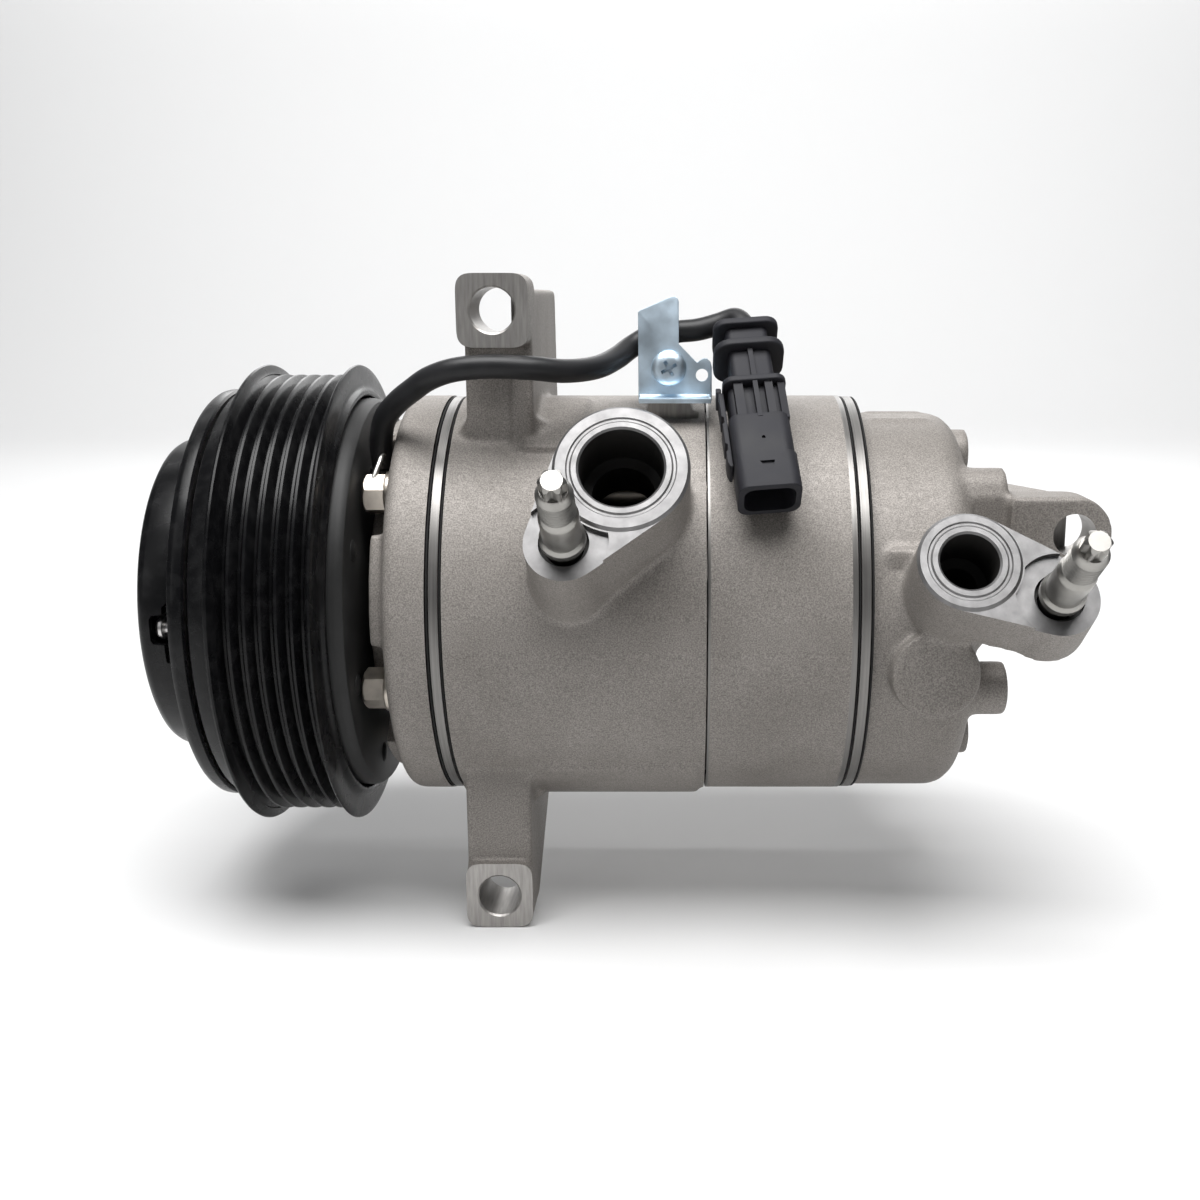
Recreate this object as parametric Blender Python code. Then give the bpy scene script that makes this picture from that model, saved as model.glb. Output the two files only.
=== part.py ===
"""Ten-cylinder swash-plate air-conditioning compressor with a six-rib clutch pulley.

Lengths are in millimetres and turned into metres by MM as each mesh is made.
X runs along the shaft from the drive end (X = 0) to the rear head, Z is up, and
the ports face -Y. Angles about the shaft are measured from +Y towards +Z.
"""

import math

import bmesh
import bpy
from mathutils import Matrix, Vector

MM = 0.001
GAP = 0.3  # between pieces that touch on the real machine
FIT = 0.1  # radial room in running fits
SLIT = 0.2  # between the thin plates of the casing stack

# Casing stack, front to rear
SHOULDER_X = 60.0
HEAD_JOINT_X = 70.4
GASKET_THICKNESS = 0.5
VALVE_PLATE_THICKNESS = 2.2
REED_THICKNESS = 0.4
BLOCK_START_X = HEAD_JOINT_X + GASKET_THICKNESS + VALVE_PLATE_THICKNESS + REED_THICKNESS + 4 * SLIT
MID_JOINT_X = 134.5
BLOCK_END_X = 168.9
REAR_HEAD_X = BLOCK_END_X + GASKET_THICKNESS + VALVE_PLATE_THICKNESS + REED_THICKNESS + 4 * SLIT
REAR_FACE_X = 198.0
BODY_RADIUS = 51.0

# Pump
SWASH_CENTRE_X = 121.4
SWASH_RADIUS = 35.5
SWASH_THICKNESS = 7.0
SWASH_TILT = math.radians(13.6)
CYLINDERS = 5
CYLINDER_PITCH = 29.0
BORE_RADIUS = 14.0
PISTON_LENGTH = 79.0
PISTON_WAIST = 46.0
CHAMBER_RADIUS = 44.0
CHAMBER_START_X = 103.0
CHAMBER_END_X = 140.0
SHAFT_RADIUS = 8.0
SHAFT_NOSE_RADIUS = 7.0
SHAFT_END_X = 163.0
PATTERN_ANGLE = math.radians(168.0)  # the cylinder that faces the front

# Through bolts
BOLT_PITCH = 39.5
BOLT_RADIUS = 3.0
BOLT_HOLE_RADIUS = 3.3
BOLT_HEAD_ACROSS = 8.6
BOLT_END_X = 196.0

# Clutch
NOSE_RADIUS = 17.4
NOSE_START_X = 24.0
BEARING_OUTER_RADIUS = 26.0
BEARING_START_X = 27.0
BEARING_END_X = 47.0
PULLEY_FRONT_X = 17.0
PULLEY_FLANGE_RADIUS = 58.8
RIB_RADIUS = 56.3
RIB_PITCH = 3.56
RIB_DEPTH = 2.8
RIBS = 6
RIB_CENTRE_X = 34.7
CHANNEL_RADIUS = 51.0
PULLEY_HUB_RADIUS = 29.8
COIL_RADIUS = 50.3
COIL_BACK_X = 52.0
CUP_RADIUS = 39.9
ARMATURE_RADIUS = 52.6
ARMATURE_THICKNESS = 4.2
ARMATURE_GAP = 0.5
RIVET_PITCH = 37.0
RIVET_ANGLES = [math.radians(181.5 + 120.0 * k) for k in range(3)]

# Ports: both faces look up and forward
PORT_TILT = math.radians(33.5)
SUCTION = {"x": 115.7, "rise": 1.3, "face": 70.0, "bore": 9.05, "ring": 15.2, "stud": (103.6, -15.8)}
DISCHARGE = {"x": 191.0, "rise": -18.1, "face": 63.7, "bore": 6.2, "ring": 11.6, "stud": (210.0, -25.8)}
STUD_LOBE_RADIUS = 8.7
STUD_LENGTH = 29.0

# Mounting ears
EAR_FACE_Y = -38.0
UPPER_ARM_FACE_Y = -28.5
LOWER_ARM_FACE_Y = -35.6
EAR_BACK_Y = -22.0
EAR_HOLE_RADIUS = 5.1
UPPER_EAR = (86.0, 72.8)
LOWER_EAR = (84.0, -68.8)
REAR_EAR = (221.0, 21.0)
REAR_EAR_FACE_Y = -36.4
REAR_ARM_FACE_Y = -33.4
REAR_EAR_BACK_Y = -24.4

# Pressure relief valve, on the rear face
RELIEF_VALVE = (0.0, 12.0, -14.0)

# Electrical lead and connector
LEAD_RADIUS = 2.75
LEAD_ROUTE = [
    (56.2, -20.1, 36.0), (56.4, -22.5, 41.2), (58.3, -26.3, 47.2), (62.0, -29.8, 51.3),
    (66.5, -33.3, 54.6), (71.4, -37.0, 57.6), (77.6, -39.5, 59.6), (85.6, -40.0, 60.3),
    (94.4, -38.5, 59.9), (102.0, -34.0, 59.0), (108.6, -26.0, 59.4), (113.0, -18.6, 61.2),
    (117.0, -13.0, 64.0), (122.0, -11.6, 66.6), (128.0, -11.6, 67.4), (133.0, -11.2, 67.9),
    (138.0, -10.4, 69.2), (141.8, -11.4, 70.4), (143.6, -14.0, 69.2),
]
CONNECTOR_TOP = Vector((144.0, -16.5, 66.7))
CONNECTOR_MOUTH = Vector((148.5, -50.6, 31.5))

# Bracket
BRACKET_FACE_Y = -18.0
SHEET = 1.2
SCREW_X = 125.8
SCREW_Z = 58.9

# Facets round a circle, by size
LARGE = 32
HOLE = 24
MEDIUM = 16
SMALL = 12
TINY = 6

FINISHES = {
    "cast_aluminium": ((0.33, 0.31, 0.29), 0.62, 0.75),
    "machined_aluminium": ((0.55, 0.53, 0.51), 0.38, 0.9),
    "black_paint": ((0.012, 0.012, 0.012), 0.3, 0.0),
    "bright_steel": ((0.6, 0.59, 0.57), 0.3, 1.0),
    "zinc": ((0.55, 0.6, 0.66), 0.32, 0.9),
    "copper": ((0.7, 0.3, 0.15), 0.4, 1.0),
    "rubber": ((0.01, 0.01, 0.01), 0.7, 0.0),
    "plastic": ((0.025, 0.025, 0.028), 0.5, 0.0),
    "tin": ((0.7, 0.7, 0.68), 0.35, 1.0),
    "gasket": ((0.02, 0.02, 0.02), 0.8, 0.0),
    "brass": ((0.7, 0.5, 0.22), 0.35, 1.0),
}


def clear_scene():
    for old in list(bpy.data.objects):
        bpy.data.objects.remove(old, do_unlink=True)


def make_finishes():
    for name, (colour, roughness, metallic) in FINISHES.items():
        finish = bpy.data.materials.new(name)
        finish.use_nodes = True
        shader = finish.node_tree.nodes["Principled BSDF"]
        shader.inputs["Base Color"].default_value = (*colour, 1.0)
        shader.inputs["Roughness"].default_value = roughness
        shader.inputs["Metallic"].default_value = metallic


def turned(profile, steps):
    """A solid turned about X from a closed loop of (x, radius) points."""
    bm = bmesh.new()
    points = [bm.verts.new((x * MM, 0.0, radius * MM)) for x, radius in profile]
    for first, second in zip(points, points[1:] + points[:1]):
        if first.co.z > 0.0 or second.co.z > 0.0:
            bm.edges.new((first, second))
    bmesh.ops.spin(
        bm, geom=bm.verts[:] + bm.edges[:], cent=(0, 0, 0), axis=(1, 0, 0), angle=2 * math.pi, steps=steps
    )
    bmesh.ops.remove_doubles(bm, verts=bm.verts, dist=1e-6)
    bmesh.ops.dissolve_degenerate(bm, edges=bm.edges, dist=1e-6)
    return bm


def cylinder(start, end, radius, steps):
    return turned([(start, 0.0), (start, radius), (end, radius), (end, 0.0)], steps)


def prism(outline, near, far, frame=None):
    """A solid extruded from near to far along the frame's third axis, over an outline in its first two."""
    bm = bmesh.new()
    face = bm.faces.new([bm.verts.new((a * MM, b * MM, near * MM)) for a, b in outline])
    extruded = bmesh.ops.extrude_face_region(bm, geom=[face])
    top = [item for item in extruded["geom"] if isinstance(item, bmesh.types.BMVert)]
    bmesh.ops.translate(bm, verts=top, vec=(0.0, 0.0, (far - near) * MM))
    if frame is not None:
        bm.transform(frame)
    return bm


def merged(shapes):
    """One mesh that holds several separate shapes, for cutting them all at once."""
    whole = bmesh.new()
    for shape in shapes:
        mesh = bpy.data.meshes.new("part_of_cutter")
        outward(shape)
        shape.to_mesh(mesh)
        shape.free()
        whole.from_mesh(mesh)
        bpy.data.meshes.remove(mesh)
    return whole


def outward(bm):
    bmesh.ops.recalc_face_normals(bm, faces=bm.faces)
    if bm.calc_volume(signed=True) < 0.0:
        bmesh.ops.reverse_faces(bm, faces=bm.faces)


def axes(first, second, third, origin=(0.0, 0.0, 0.0)):
    """A frame from three directions and an origin in millimetres."""
    matrix = Matrix((first, second, third)).transposed().to_4x4()
    matrix.translation = Vector(origin) * MM
    return matrix


def facing_minus_y(origin=(0.0, 0.0, 0.0)):
    """First axis +X, second +Z, third -Y: depth grows towards the front."""
    return axes((1, 0, 0), (0, 0, 1), (0, -1, 0), origin)


def side_view():
    """First axis +Y, second +Z, third +X."""
    return axes((0, 1, 0), (0, 0, 1), (1, 0, 0))


def port_frame():
    """First axis +X, second up the sloping face, third out of the face."""
    sine, cosine = math.sin(PORT_TILT), math.cos(PORT_TILT)
    return axes((1, 0, 0), (0, sine, cosine), (0, -cosine, sine))


def pointing(bm, origin, direction):
    """Turns a shape made along +X to point along a direction, and moves its start to an origin."""
    turn = Vector((1, 0, 0)).rotation_difference(Vector(direction)).to_matrix().to_4x4()
    bm.transform(Matrix.Translation(Vector(origin) * MM) @ turn)
    return bm


def around(radius, angle, x=0.0):
    return Vector((x, radius * math.cos(angle), radius * math.sin(angle)))


def arc(centre, radius, start, end, steps):
    """Points on an arc, angles in degrees."""
    points = []
    for step in range(steps + 1):
        angle = math.radians(start + (end - start) * step / steps)
        points.append((centre[0] + radius * math.cos(angle), centre[1] + radius * math.sin(angle)))
    return points


def rounded(left, right, low, high, radius, steps=3):
    """A rectangle with round corners."""
    return (
        arc((right - radius, low + radius), radius, -90, 0, steps)
        + arc((right - radius, high - radius), radius, 0, 90, steps)
        + arc((left + radius, high - radius), radius, 90, 180, steps)
        + arc((left + radius, low + radius), radius, 180, 270, steps)
    )


def polygon(across, sides):
    """Corners of a regular polygon with this distance across its flats."""
    radius = across / 2 / math.cos(math.pi / sides)
    angles = [2 * math.pi * k / sides for k in range(sides)]
    return [(radius * math.cos(angle), radius * math.sin(angle)) for angle in angles]


def hull(circles, steps=24):
    """The outline of a band stretched round circles given as (a, b, radius)."""
    points = sorted(set(
        (
            round(a + r * math.cos(2 * math.pi * k / steps), 5),
            round(b + r * math.sin(2 * math.pi * k / steps), 5),
        )
        for a, b, r in circles for k in range(steps)
    ))
    outline = []
    for run in (points, points[::-1]):
        side = []
        for point in run:
            while len(side) > 1 and turn_of(side[-2], side[-1], point) <= 1e-9:
                side.pop()
            side.append(point)
        outline += side[:-1]
    return outline


def turn_of(first, second, third):
    return (second[0] - first[0]) * (third[1] - first[1]) - (second[1] - first[1]) * (third[0] - first[0])


def add(name, bm, finish, parent=None):
    """Puts a mesh in the scene as a visible piece."""
    outward(bm)
    mesh = bpy.data.meshes.new(name)
    bm.to_mesh(mesh)
    bm.free()
    mesh.shade_smooth()
    mesh.set_sharp_from_angle(angle=math.radians(32))
    piece = bpy.data.objects.new(name, mesh)
    bpy.context.scene.collection.objects.link(piece)
    mesh.materials.append(bpy.data.materials[finish])
    piece.parent = parent
    return piece


def shape(piece, operation, bm):
    """Joins a helper shape to a piece, or cuts it away."""
    helper = add(f"{piece.name}_{operation.lower()}_{len(piece.modifiers)}", bm, "cast_aluminium")
    helper.parent = piece.parent
    join(piece, operation, helper)


def join(piece, operation, helper):
    helper.hide_render = True
    helper.display_type = "WIRE"
    modifier = piece.modifiers.new(operation.title(), "BOOLEAN")
    modifier.operation = operation
    modifier.solver = "EXACT"
    modifier.object = helper


def moving_frame(name, x, y=0.0, z=0.0):
    """An empty on a moving body's axis. Pieces under it keep their world places."""
    empty = bpy.data.objects.new(name, None)
    bpy.context.scene.collection.objects.link(empty)
    empty.location = Vector((x, y, z)) * MM
    return empty


def ride(pieces, empty):
    """Parents pieces to an empty, with each mesh moved so that its origin is the empty's."""
    for piece in pieces:
        piece.data.transform(Matrix.Translation(-empty.location))
        piece.parent = empty


def bolt_angles():
    return [PATTERN_ANGLE + math.radians(36.0 + 72.0 * k) for k in range(CYLINDERS)]


def cylinder_angles():
    return [PATTERN_ANGLE + math.radians(72.0 * k) for k in range(CYLINDERS)]


def bolt_holes(start, end):
    return [
        pointing(
            cylinder(0.0, end - start, BOLT_HOLE_RADIUS, TINY), around(BOLT_PITCH, angle, start), (1, 0, 0)
        )
        for angle in bolt_angles()
    ]


def front_housing():
    profile = [
        (NOSE_START_X, 12.3), (NOSE_START_X, NOSE_RADIUS - 0.6), (NOSE_START_X + 0.6, NOSE_RADIUS),
        (52.3, NOSE_RADIUS), (52.3, 24.0), (54.0, 32.5), (SHOULDER_X, 32.5), (SHOULDER_X, 47.6),
        (60.7, 50.0), (62.6, BODY_RADIUS), (HEAD_JOINT_X, BODY_RADIUS),
        (HEAD_JOINT_X, 35.5), (64.0, 35.5), (64.0, 20.0), (HEAD_JOINT_X, 20.0), (HEAD_JOINT_X, 9.5),
        (57.0, 9.5), (57.0, 12.3),
    ]
    piece = add("front_housing", turned(profile, LARGE), "cast_aluminium")
    pads = []
    for angle in cylinder_angles():
        middle = math.degrees(angle)
        outline = arc((0, 0), 44.4, middle - 17, middle + 17, 4)
        outline += arc((0, 0), 31.0, middle + 17, middle - 17, 2)
        pads.append(prism(outline, 56.4, SHOULDER_X + 0.8, side_view()))
    shape(piece, "UNION", merged(pads))
    shape(piece, "DIFFERENCE", merged(bolt_holes(SHOULDER_X - 1, HEAD_JOINT_X + 1)))


def casing_plates():
    front = HEAD_JOINT_X + SLIT
    ring("front_head_gasket", front, GASKET_THICKNESS, "gasket")
    front += GASKET_THICKNESS + SLIT
    plate("front_valve_plate", front, VALVE_PLATE_THICKNESS, 9.5, 27.0, "machined_aluminium")
    front += VALVE_PLATE_THICKNESS + SLIT
    plate("front_reed_plate", front, REED_THICKNESS, 9.5, None, "bright_steel")
    rear = BLOCK_END_X + SLIT
    plate("rear_reed_plate", rear, REED_THICKNESS, 4.0, None, "bright_steel")
    rear += REED_THICKNESS + SLIT
    plate("rear_valve_plate", rear, VALVE_PLATE_THICKNESS, 4.0, 27.0, "machined_aluminium")
    rear += VALVE_PLATE_THICKNESS + SLIT
    ring("rear_head_gasket", rear, GASKET_THICKNESS, "gasket")


def ring(name, x, thickness, finish):
    outer, inner = BODY_RADIUS - 0.3, 43.2
    add(name, turned([(x, inner), (x, outer), (x + thickness, outer), (x + thickness, inner)], LARGE), finish)


def plate(name, x, thickness, centre_hole, port_pitch, finish):
    outer = BODY_RADIUS - 0.2
    end = x + thickness
    piece = add(name, turned([(x, centre_hole), (x, outer), (end, outer), (end, centre_hole)], LARGE), finish)
    holes = bolt_holes(x - 1, end + 1)
    for angle in cylinder_angles() if port_pitch else []:
        hole = cylinder(0, thickness + 2, 2.4, 6)
        holes.append(pointing(hole, around(port_pitch, angle, x - 1), (1, 0, 0)))
    shape(piece, "DIFFERENCE", merged(holes))


def bores(start, end):
    return [
        pointing(
            cylinder(0.0, end - start, BORE_RADIUS, MEDIUM), around(CYLINDER_PITCH, angle, start), (1, 0, 0)
        )
        for angle in cylinder_angles()
    ]


def front_cylinder_block():
    start, wall_end = BLOCK_START_X, MID_JOINT_X
    profile = [
        (start, 11.8), (start, BODY_RADIUS), (wall_end, BODY_RADIUS), (wall_end, CHAMBER_RADIUS),
        (CHAMBER_START_X, CHAMBER_RADIUS), (CHAMBER_START_X, 8.6), (92.5, 8.6), (92.5, 11.8),
    ]
    piece = add("front_cylinder_block", turned(profile, LARGE), "cast_aluminium")
    ear(piece, UPPER_EAR, 1)
    ear(piece, LOWER_EAR, -1)
    port_boss(piece, SUCTION, 44.0, 44.0)
    shape(piece, "UNION", prism(rounded(121.0, 131.0, 45.5, 62.6, 3.0), 6.0, 16.5, facing_minus_y()))
    shape(piece, "DIFFERENCE", merged(bores(start - 1, CHAMBER_START_X + 1)))
    shape(piece, "DIFFERENCE", merged(bolt_holes(start - 1, CHAMBER_START_X + 1)))
    ear_hole(piece, UPPER_EAR, EAR_FACE_Y, EAR_BACK_Y)
    ear_hole(piece, LOWER_EAR, EAR_FACE_Y, EAR_BACK_Y)
    port_holes(piece, SUCTION, 38.0)
    screw_hole = cylinder(0.0, 10.5, 2.5, TINY)
    shape(piece, "DIFFERENCE", pointing(screw_hole, (SCREW_X, -7.0, SCREW_Z), (0, -1, 0)))


def ear(piece, centre, up):
    """A mounting arm with a machined pad round its hole, and a web behind it on the +X side."""
    x, z = centre
    left, right = x - 8.0, x + 8.0
    tip = abs(z) + 8.2
    arm = rounded(left, right, 33.0, tip - 0.4, 2.5)
    pad = rounded(left - 0.2, right + 0.2, tip - 16.6, tip, 3.0)
    web_top, web_depth = (tip - 3.4, 34.0) if up > 0 else (tip - 1.0, -20.0)
    web = [(-30.0, 34.0), (-30.0, tip - 4.0), (-24.0, web_top)]
    web += [(web_depth, web_top), (38.0, 45.0), (34.0, 34.0)]
    mirror = facing_minus_y() @ Matrix.Diagonal((1, up, 1, 1))
    arm_face = UPPER_ARM_FACE_Y if up > 0 else LOWER_ARM_FACE_Y
    shape(piece, "UNION", prism(arm, -EAR_BACK_Y, -arm_face, mirror))
    shape(piece, "UNION", prism(web, x + 2.8, x + 7.9, side_view() @ Matrix.Diagonal((1, up, 1, 1))))
    shape(piece, "UNION", prism(pad, -EAR_BACK_Y - 0.3, -EAR_FACE_Y, mirror))


def ear_hole(piece, centre, face, back):
    hole = cylinder(0.0, back - face + 2, EAR_HOLE_RADIUS, HOLE)
    shape(piece, "DIFFERENCE", pointing(hole, (centre[0], back + 1, centre[1]), (0, -1, 0)))


def port_boss(piece, port, port_depth, stud_depth):
    stud_x, stud_rise = port["stud"]
    face = port["face"]
    ring = (port["x"], port["rise"], port["ring"] - 0.6)
    outline = hull([ring, (stud_x, stud_rise, STUD_LOBE_RADIUS)], HOLE)
    shape(piece, "UNION", prism(outline, stud_depth, face - 0.7, port_frame()))
    centre = port_frame() @ (Vector((port["x"], port["rise"], port_depth)) * MM) / MM
    collar = cylinder(0.0, face - port_depth, port["ring"], HOLE)
    shape(piece, "UNION", pointing(collar, centre, port_frame().to_3x3() @ Vector((0, 0, 1))))


def port_holes(piece, port, inner):
    out = port_frame().to_3x3() @ Vector((0, 0, 1))
    face = port["face"]
    start = port_frame() @ (Vector((port["x"], port["rise"], inner)) * MM) / MM
    depth = face - inner
    bore = port["bore"]
    steps = [(0, 0), (0, bore - 1.8), (depth - 15, bore - 1.8), (depth - 14, bore), (depth - 1.2, bore)]
    steps += [(depth + 0.2, bore + 1.2), (depth + 1, bore + 1.2), (depth + 1, 0)]
    shape(piece, "DIFFERENCE", pointing(turned(steps, HOLE), start, out))
    stud_x, stud_rise = port["stud"]
    bottom = port_frame() @ (Vector((stud_x, stud_rise, face - 13.0)) * MM) / MM
    shape(piece, "DIFFERENCE", pointing(cylinder(0.0, 14.0, 4.3, SMALL), bottom, out))


def port_stud(name, port):
    """A stud with a plain shank, a rolled thread and a driving point."""
    stud_x, stud_rise = port["stud"]
    base = port_frame() @ (Vector((stud_x, stud_rise, port["face"] - 0.7)) * MM) / MM
    out = port_frame().to_3x3() @ Vector((0, 0, 1))
    profile = [
        (-11.5, 0.0), (-11.5, 3.6), (-10.8, 3.9), (0.4, 3.9), (0.4, 5.0), (2.4, 5.0), (2.9, 4.5), (13.0, 4.5),
        (13.8, 3.9), (23.0, 3.9), (24.4, 2.9),
        (STUD_LENGTH - 0.5, 2.9), (STUD_LENGTH, 2.4), (STUD_LENGTH, 0.0),
    ]
    add(name, pointing(turned(profile, SMALL), base, out), "zinc")


def rear_cylinder_block():
    start, end = MID_JOINT_X + 0.4, BLOCK_END_X
    profile = [
        (start, CHAMBER_RADIUS), (start, 46.6), (start + 2.6, 46.6), (start + 2.6, 49.4), (start, 49.4),
        (start, BODY_RADIUS), (end, BODY_RADIUS), (end, 11.8), (149.7, 11.8), (149.7, 8.6),
        (CHAMBER_END_X, 8.6), (CHAMBER_END_X, CHAMBER_RADIUS),
    ]
    piece = add("rear_cylinder_block", turned(profile, LARGE), "cast_aluminium")
    shape(piece, "DIFFERENCE", merged(bores(CHAMBER_END_X - 1, end + 1)))
    shape(piece, "DIFFERENCE", merged(bolt_holes(CHAMBER_END_X - 1, end + 1)))
    section = arc((start + 1.3, 48.0), 1.1, 0, 300, 5)
    add("body_o_ring", turned(section[::-1], LARGE), "rubber")


def rear_head():
    start, end, radius, drop = REAR_HEAD_X, REAR_FACE_X, 48.4, -1.9
    profile = [
        (start, 0.0), (start, radius), (end - 5.0, radius),
        (end - 2.2, radius - 1.2), (end - 0.6, radius - 3.6),
        (end, radius - 6.5), (end, 0.0),
    ]
    body = turned(profile, LARGE)
    body.transform(Matrix.Translation((0.0, 0.0, drop * MM)))
    piece = add("rear_head", body, "cast_aluminium")
    arm = hull([(*REAR_EAR, 9.0), (186.0, 25.5, 4.5), (186.0, -2.0, 4.0), (209.0, 4.0, 8.0)])
    pad = hull([(*REAR_EAR, 9.0), (207.3, 28.5, 1.5), (207.3, 10.0, 1.5)])
    shape(piece, "UNION", prism(arm, -REAR_EAR_BACK_Y, -REAR_ARM_FACE_Y, facing_minus_y()))
    rear_web(piece)
    shape(piece, "UNION", prism(pad, -REAR_EAR_BACK_Y - 0.3, -REAR_EAR_FACE_Y, facing_minus_y()))
    boss = [(0, 0), (0, 6.4), (14.6, 6.4), (16, 5.0), (16, 0)]
    bosses = [
        pointing(turned(boss, SMALL), around(BOLT_PITCH, angle, 190.0), (1, 0, 0)) for angle in bolt_angles()
    ]
    shape(piece, "UNION", merged(bosses))
    port_boss(piece, DISCHARGE, 30.0, 45.0)
    disc = turned([(0, 0), (0, 10.3), (21.2, 10.3), (22, 9.5), (22, 0)], MEDIUM)
    shape(piece, "UNION", pointing(disc, (187.0, -30.0, -9.0), (0, -1, 0)))
    chambers = [
        turned([(start - 1, 20.0), (start - 1, 35.0), (190.0, 35.0), (190.0, 20.0)], MEDIUM),
        cylinder(start - 1, 183.0, 16.0, SMALL),
    ]
    shape(piece, "DIFFERENCE", merged(chambers))
    shape(piece, "DIFFERENCE", merged(bolt_holes(start - 1, BOLT_END_X + 0.5)))
    ear_hole(piece, REAR_EAR, REAR_EAR_FACE_Y, REAR_EAR_BACK_Y)
    port_holes(piece, DISCHARGE, 25.0)
    valve_hole = cylinder(186.0, end + 1, 4.4, TINY)
    shape(piece, "DIFFERENCE", pointing(valve_hole, RELIEF_VALVE, (1, 0, 0)))


def rear_web(piece):
    """A web behind the rear arm that slopes away from the ear."""
    outline = hull([(*REAR_EAR, 8.0), (186.0, 24.5, 4.5), (186.0, 16.0, 4.0)])
    web = add("rear_web", prism(outline, -6.0, -REAR_EAR_BACK_Y + 1, facing_minus_y()), "cast_aluminium")
    slope = [(225.0, -24.6), (240.0, -24.6), (240.0, 12.0), (203.0, 12.0)]
    shape(web, "DIFFERENCE", prism(slope, 0.0, 40.0))
    join(piece, "UNION", web)


def pressure_relief_valve():
    face = REAR_FACE_X + GAP
    profile = [
        (188.0, 0.0), (188.0, 4.0), (face, 4.0), (face, 7.0), (face + 5.0, 7.0), (face + 5.0, 4.6),
        (face + 11.0, 4.6), (face + 12.0, 3.6), (face + 12.0, 0.0),
    ]
    add("pressure_relief_valve", pointing(turned(profile, TINY), RELIEF_VALVE, (1, 0, 0)), "brass")


def through_bolts():
    seat = SHOULDER_X - 0.3
    for number, angle in enumerate(bolt_angles(), 1):
        profile = [(54.0, 0.0), (54.0, 3.6), (seat - 1.4, 3.6)]
        profile += [(seat - 1.2, 5.6), (seat, 5.6), (seat, BOLT_RADIUS)]
        profile += [(BOLT_END_X - 1, BOLT_RADIUS), (BOLT_END_X, 2.2), (BOLT_END_X, 0.0)]
        bolt = add(f"through_bolt_{number}", turned(profile, TINY), "bright_steel")
        shape(bolt, "UNION", prism(polygon(BOLT_HEAD_ACROSS, 6), 53.0, seat - 0.7, side_view()))
        offset = Matrix.Translation(around(BOLT_PITCH, angle) * MM)
        for part in (bolt, bolt.modifiers[0].object):
            part.matrix_world = offset


def magnetic_coil():
    back = COIL_BACK_X
    profile = [
        (29.0, 47.6), (29.0, COIL_RADIUS), (back - 0.6, COIL_RADIUS), (back, COIL_RADIUS - 0.6), (back, 18.0),
        (49.8, 18.0), (49.8, 30.5), (29.0, 30.5), (29.0, 33.2), (49.6, 33.2), (49.6, 47.6),
    ]
    add("field_coil_shell", turned(profile, LARGE), "black_paint")
    winding = [(30.0, 33.6), (30.0, 47.2), (49.3, 47.2), (49.3, 33.6)]
    add("field_coil_winding", turned(winding, LARGE), "copper")
    ring = [(48.3, 17.7), (48.3, 20.4), (49.4, 20.4), (49.4, 17.7)]
    add("coil_snap_ring", turned(ring, LARGE), "bright_steel")
    tube = turned([(0, 0), (0, 3.9), (4.2, 3.9), (6.4, 3.1), (6.4, 0)], TINY)
    start = Vector(LEAD_ROUTE[0])
    radial = Vector((0, start.y, start.z)).normalized()
    add("lead_grommet", pointing(tube, start - radial * (6.4 + GAP), radial), "rubber")


def pulley_bearing():
    start, end, inner, outer = BEARING_START_X, BEARING_END_X, NOSE_RADIUS + FIT, BEARING_OUTER_RADIUS
    ring_wall = 2.4
    race = [(start, inner), (start, inner + ring_wall), (end, inner + ring_wall), (end, inner)]
    add("pulley_bearing_inner_ring", turned(race, LARGE), "bright_steel")
    cage = [(start + 3, 20.6), (start + 3, 23.0), (end - 3, 23.0), (end - 3, 20.6)]
    cage_piece = add("pulley_bearing_ball_cage", turned(cage, MEDIUM), "bright_steel")
    race = [(start, outer - ring_wall), (start, outer), (end, outer), (end, outer - ring_wall)]
    outer_ring = add("pulley_bearing_outer_ring", turned(race, MEDIUM), "bright_steel")
    clip = [(25.2, inner), (25.2, 20.6), (26.6, 20.6), (26.6, inner)]
    add("pulley_snap_ring", turned(clip, LARGE), "bright_steel")
    return [cage_piece, outer_ring]


def pulley():
    """Friction face, six ribs between two flanges, a channel for the coil and a bearing seat."""
    seat = BEARING_OUTER_RADIUS + FIT
    profile = [
        (PULLEY_FRONT_X, 31.0), (PULLEY_FRONT_X, 52.0), (17.6, 52.6), (22.4, 52.6), (22.8, 58.4),
        (23.3, PULLEY_FLANGE_RADIUS), (23.8, 58.4), (24.3, RIB_RADIUS),
    ]
    for rib in range(RIBS):
        centre = RIB_CENTRE_X + (rib - (RIBS - 1) / 2) * RIB_PITCH
        floor = RIB_RADIUS - RIB_DEPTH
        profile += [(centre - 1.4, RIB_RADIUS), (centre, floor), (centre + 1.4, RIB_RADIUS)]
    profile += [
        (45.1, RIB_RADIUS), (45.6, 58.4), (46.1, PULLEY_FLANGE_RADIUS),
        (46.7, 58.4), (47.0, 57.0), (47.0, 53.0),
        (48.4, 52.6), (48.4, CHANNEL_RADIUS), (26.5, CHANNEL_RADIUS), (26.5, PULLEY_HUB_RADIUS),
        (48.2, PULLEY_HUB_RADIUS), (48.2, seat), (24.9, seat), (24.9, 24.5), (21.0, 24.5), (21.0, 31.0),
    ]
    return add("pulley", turned(profile, LARGE), "black_paint")


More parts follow.
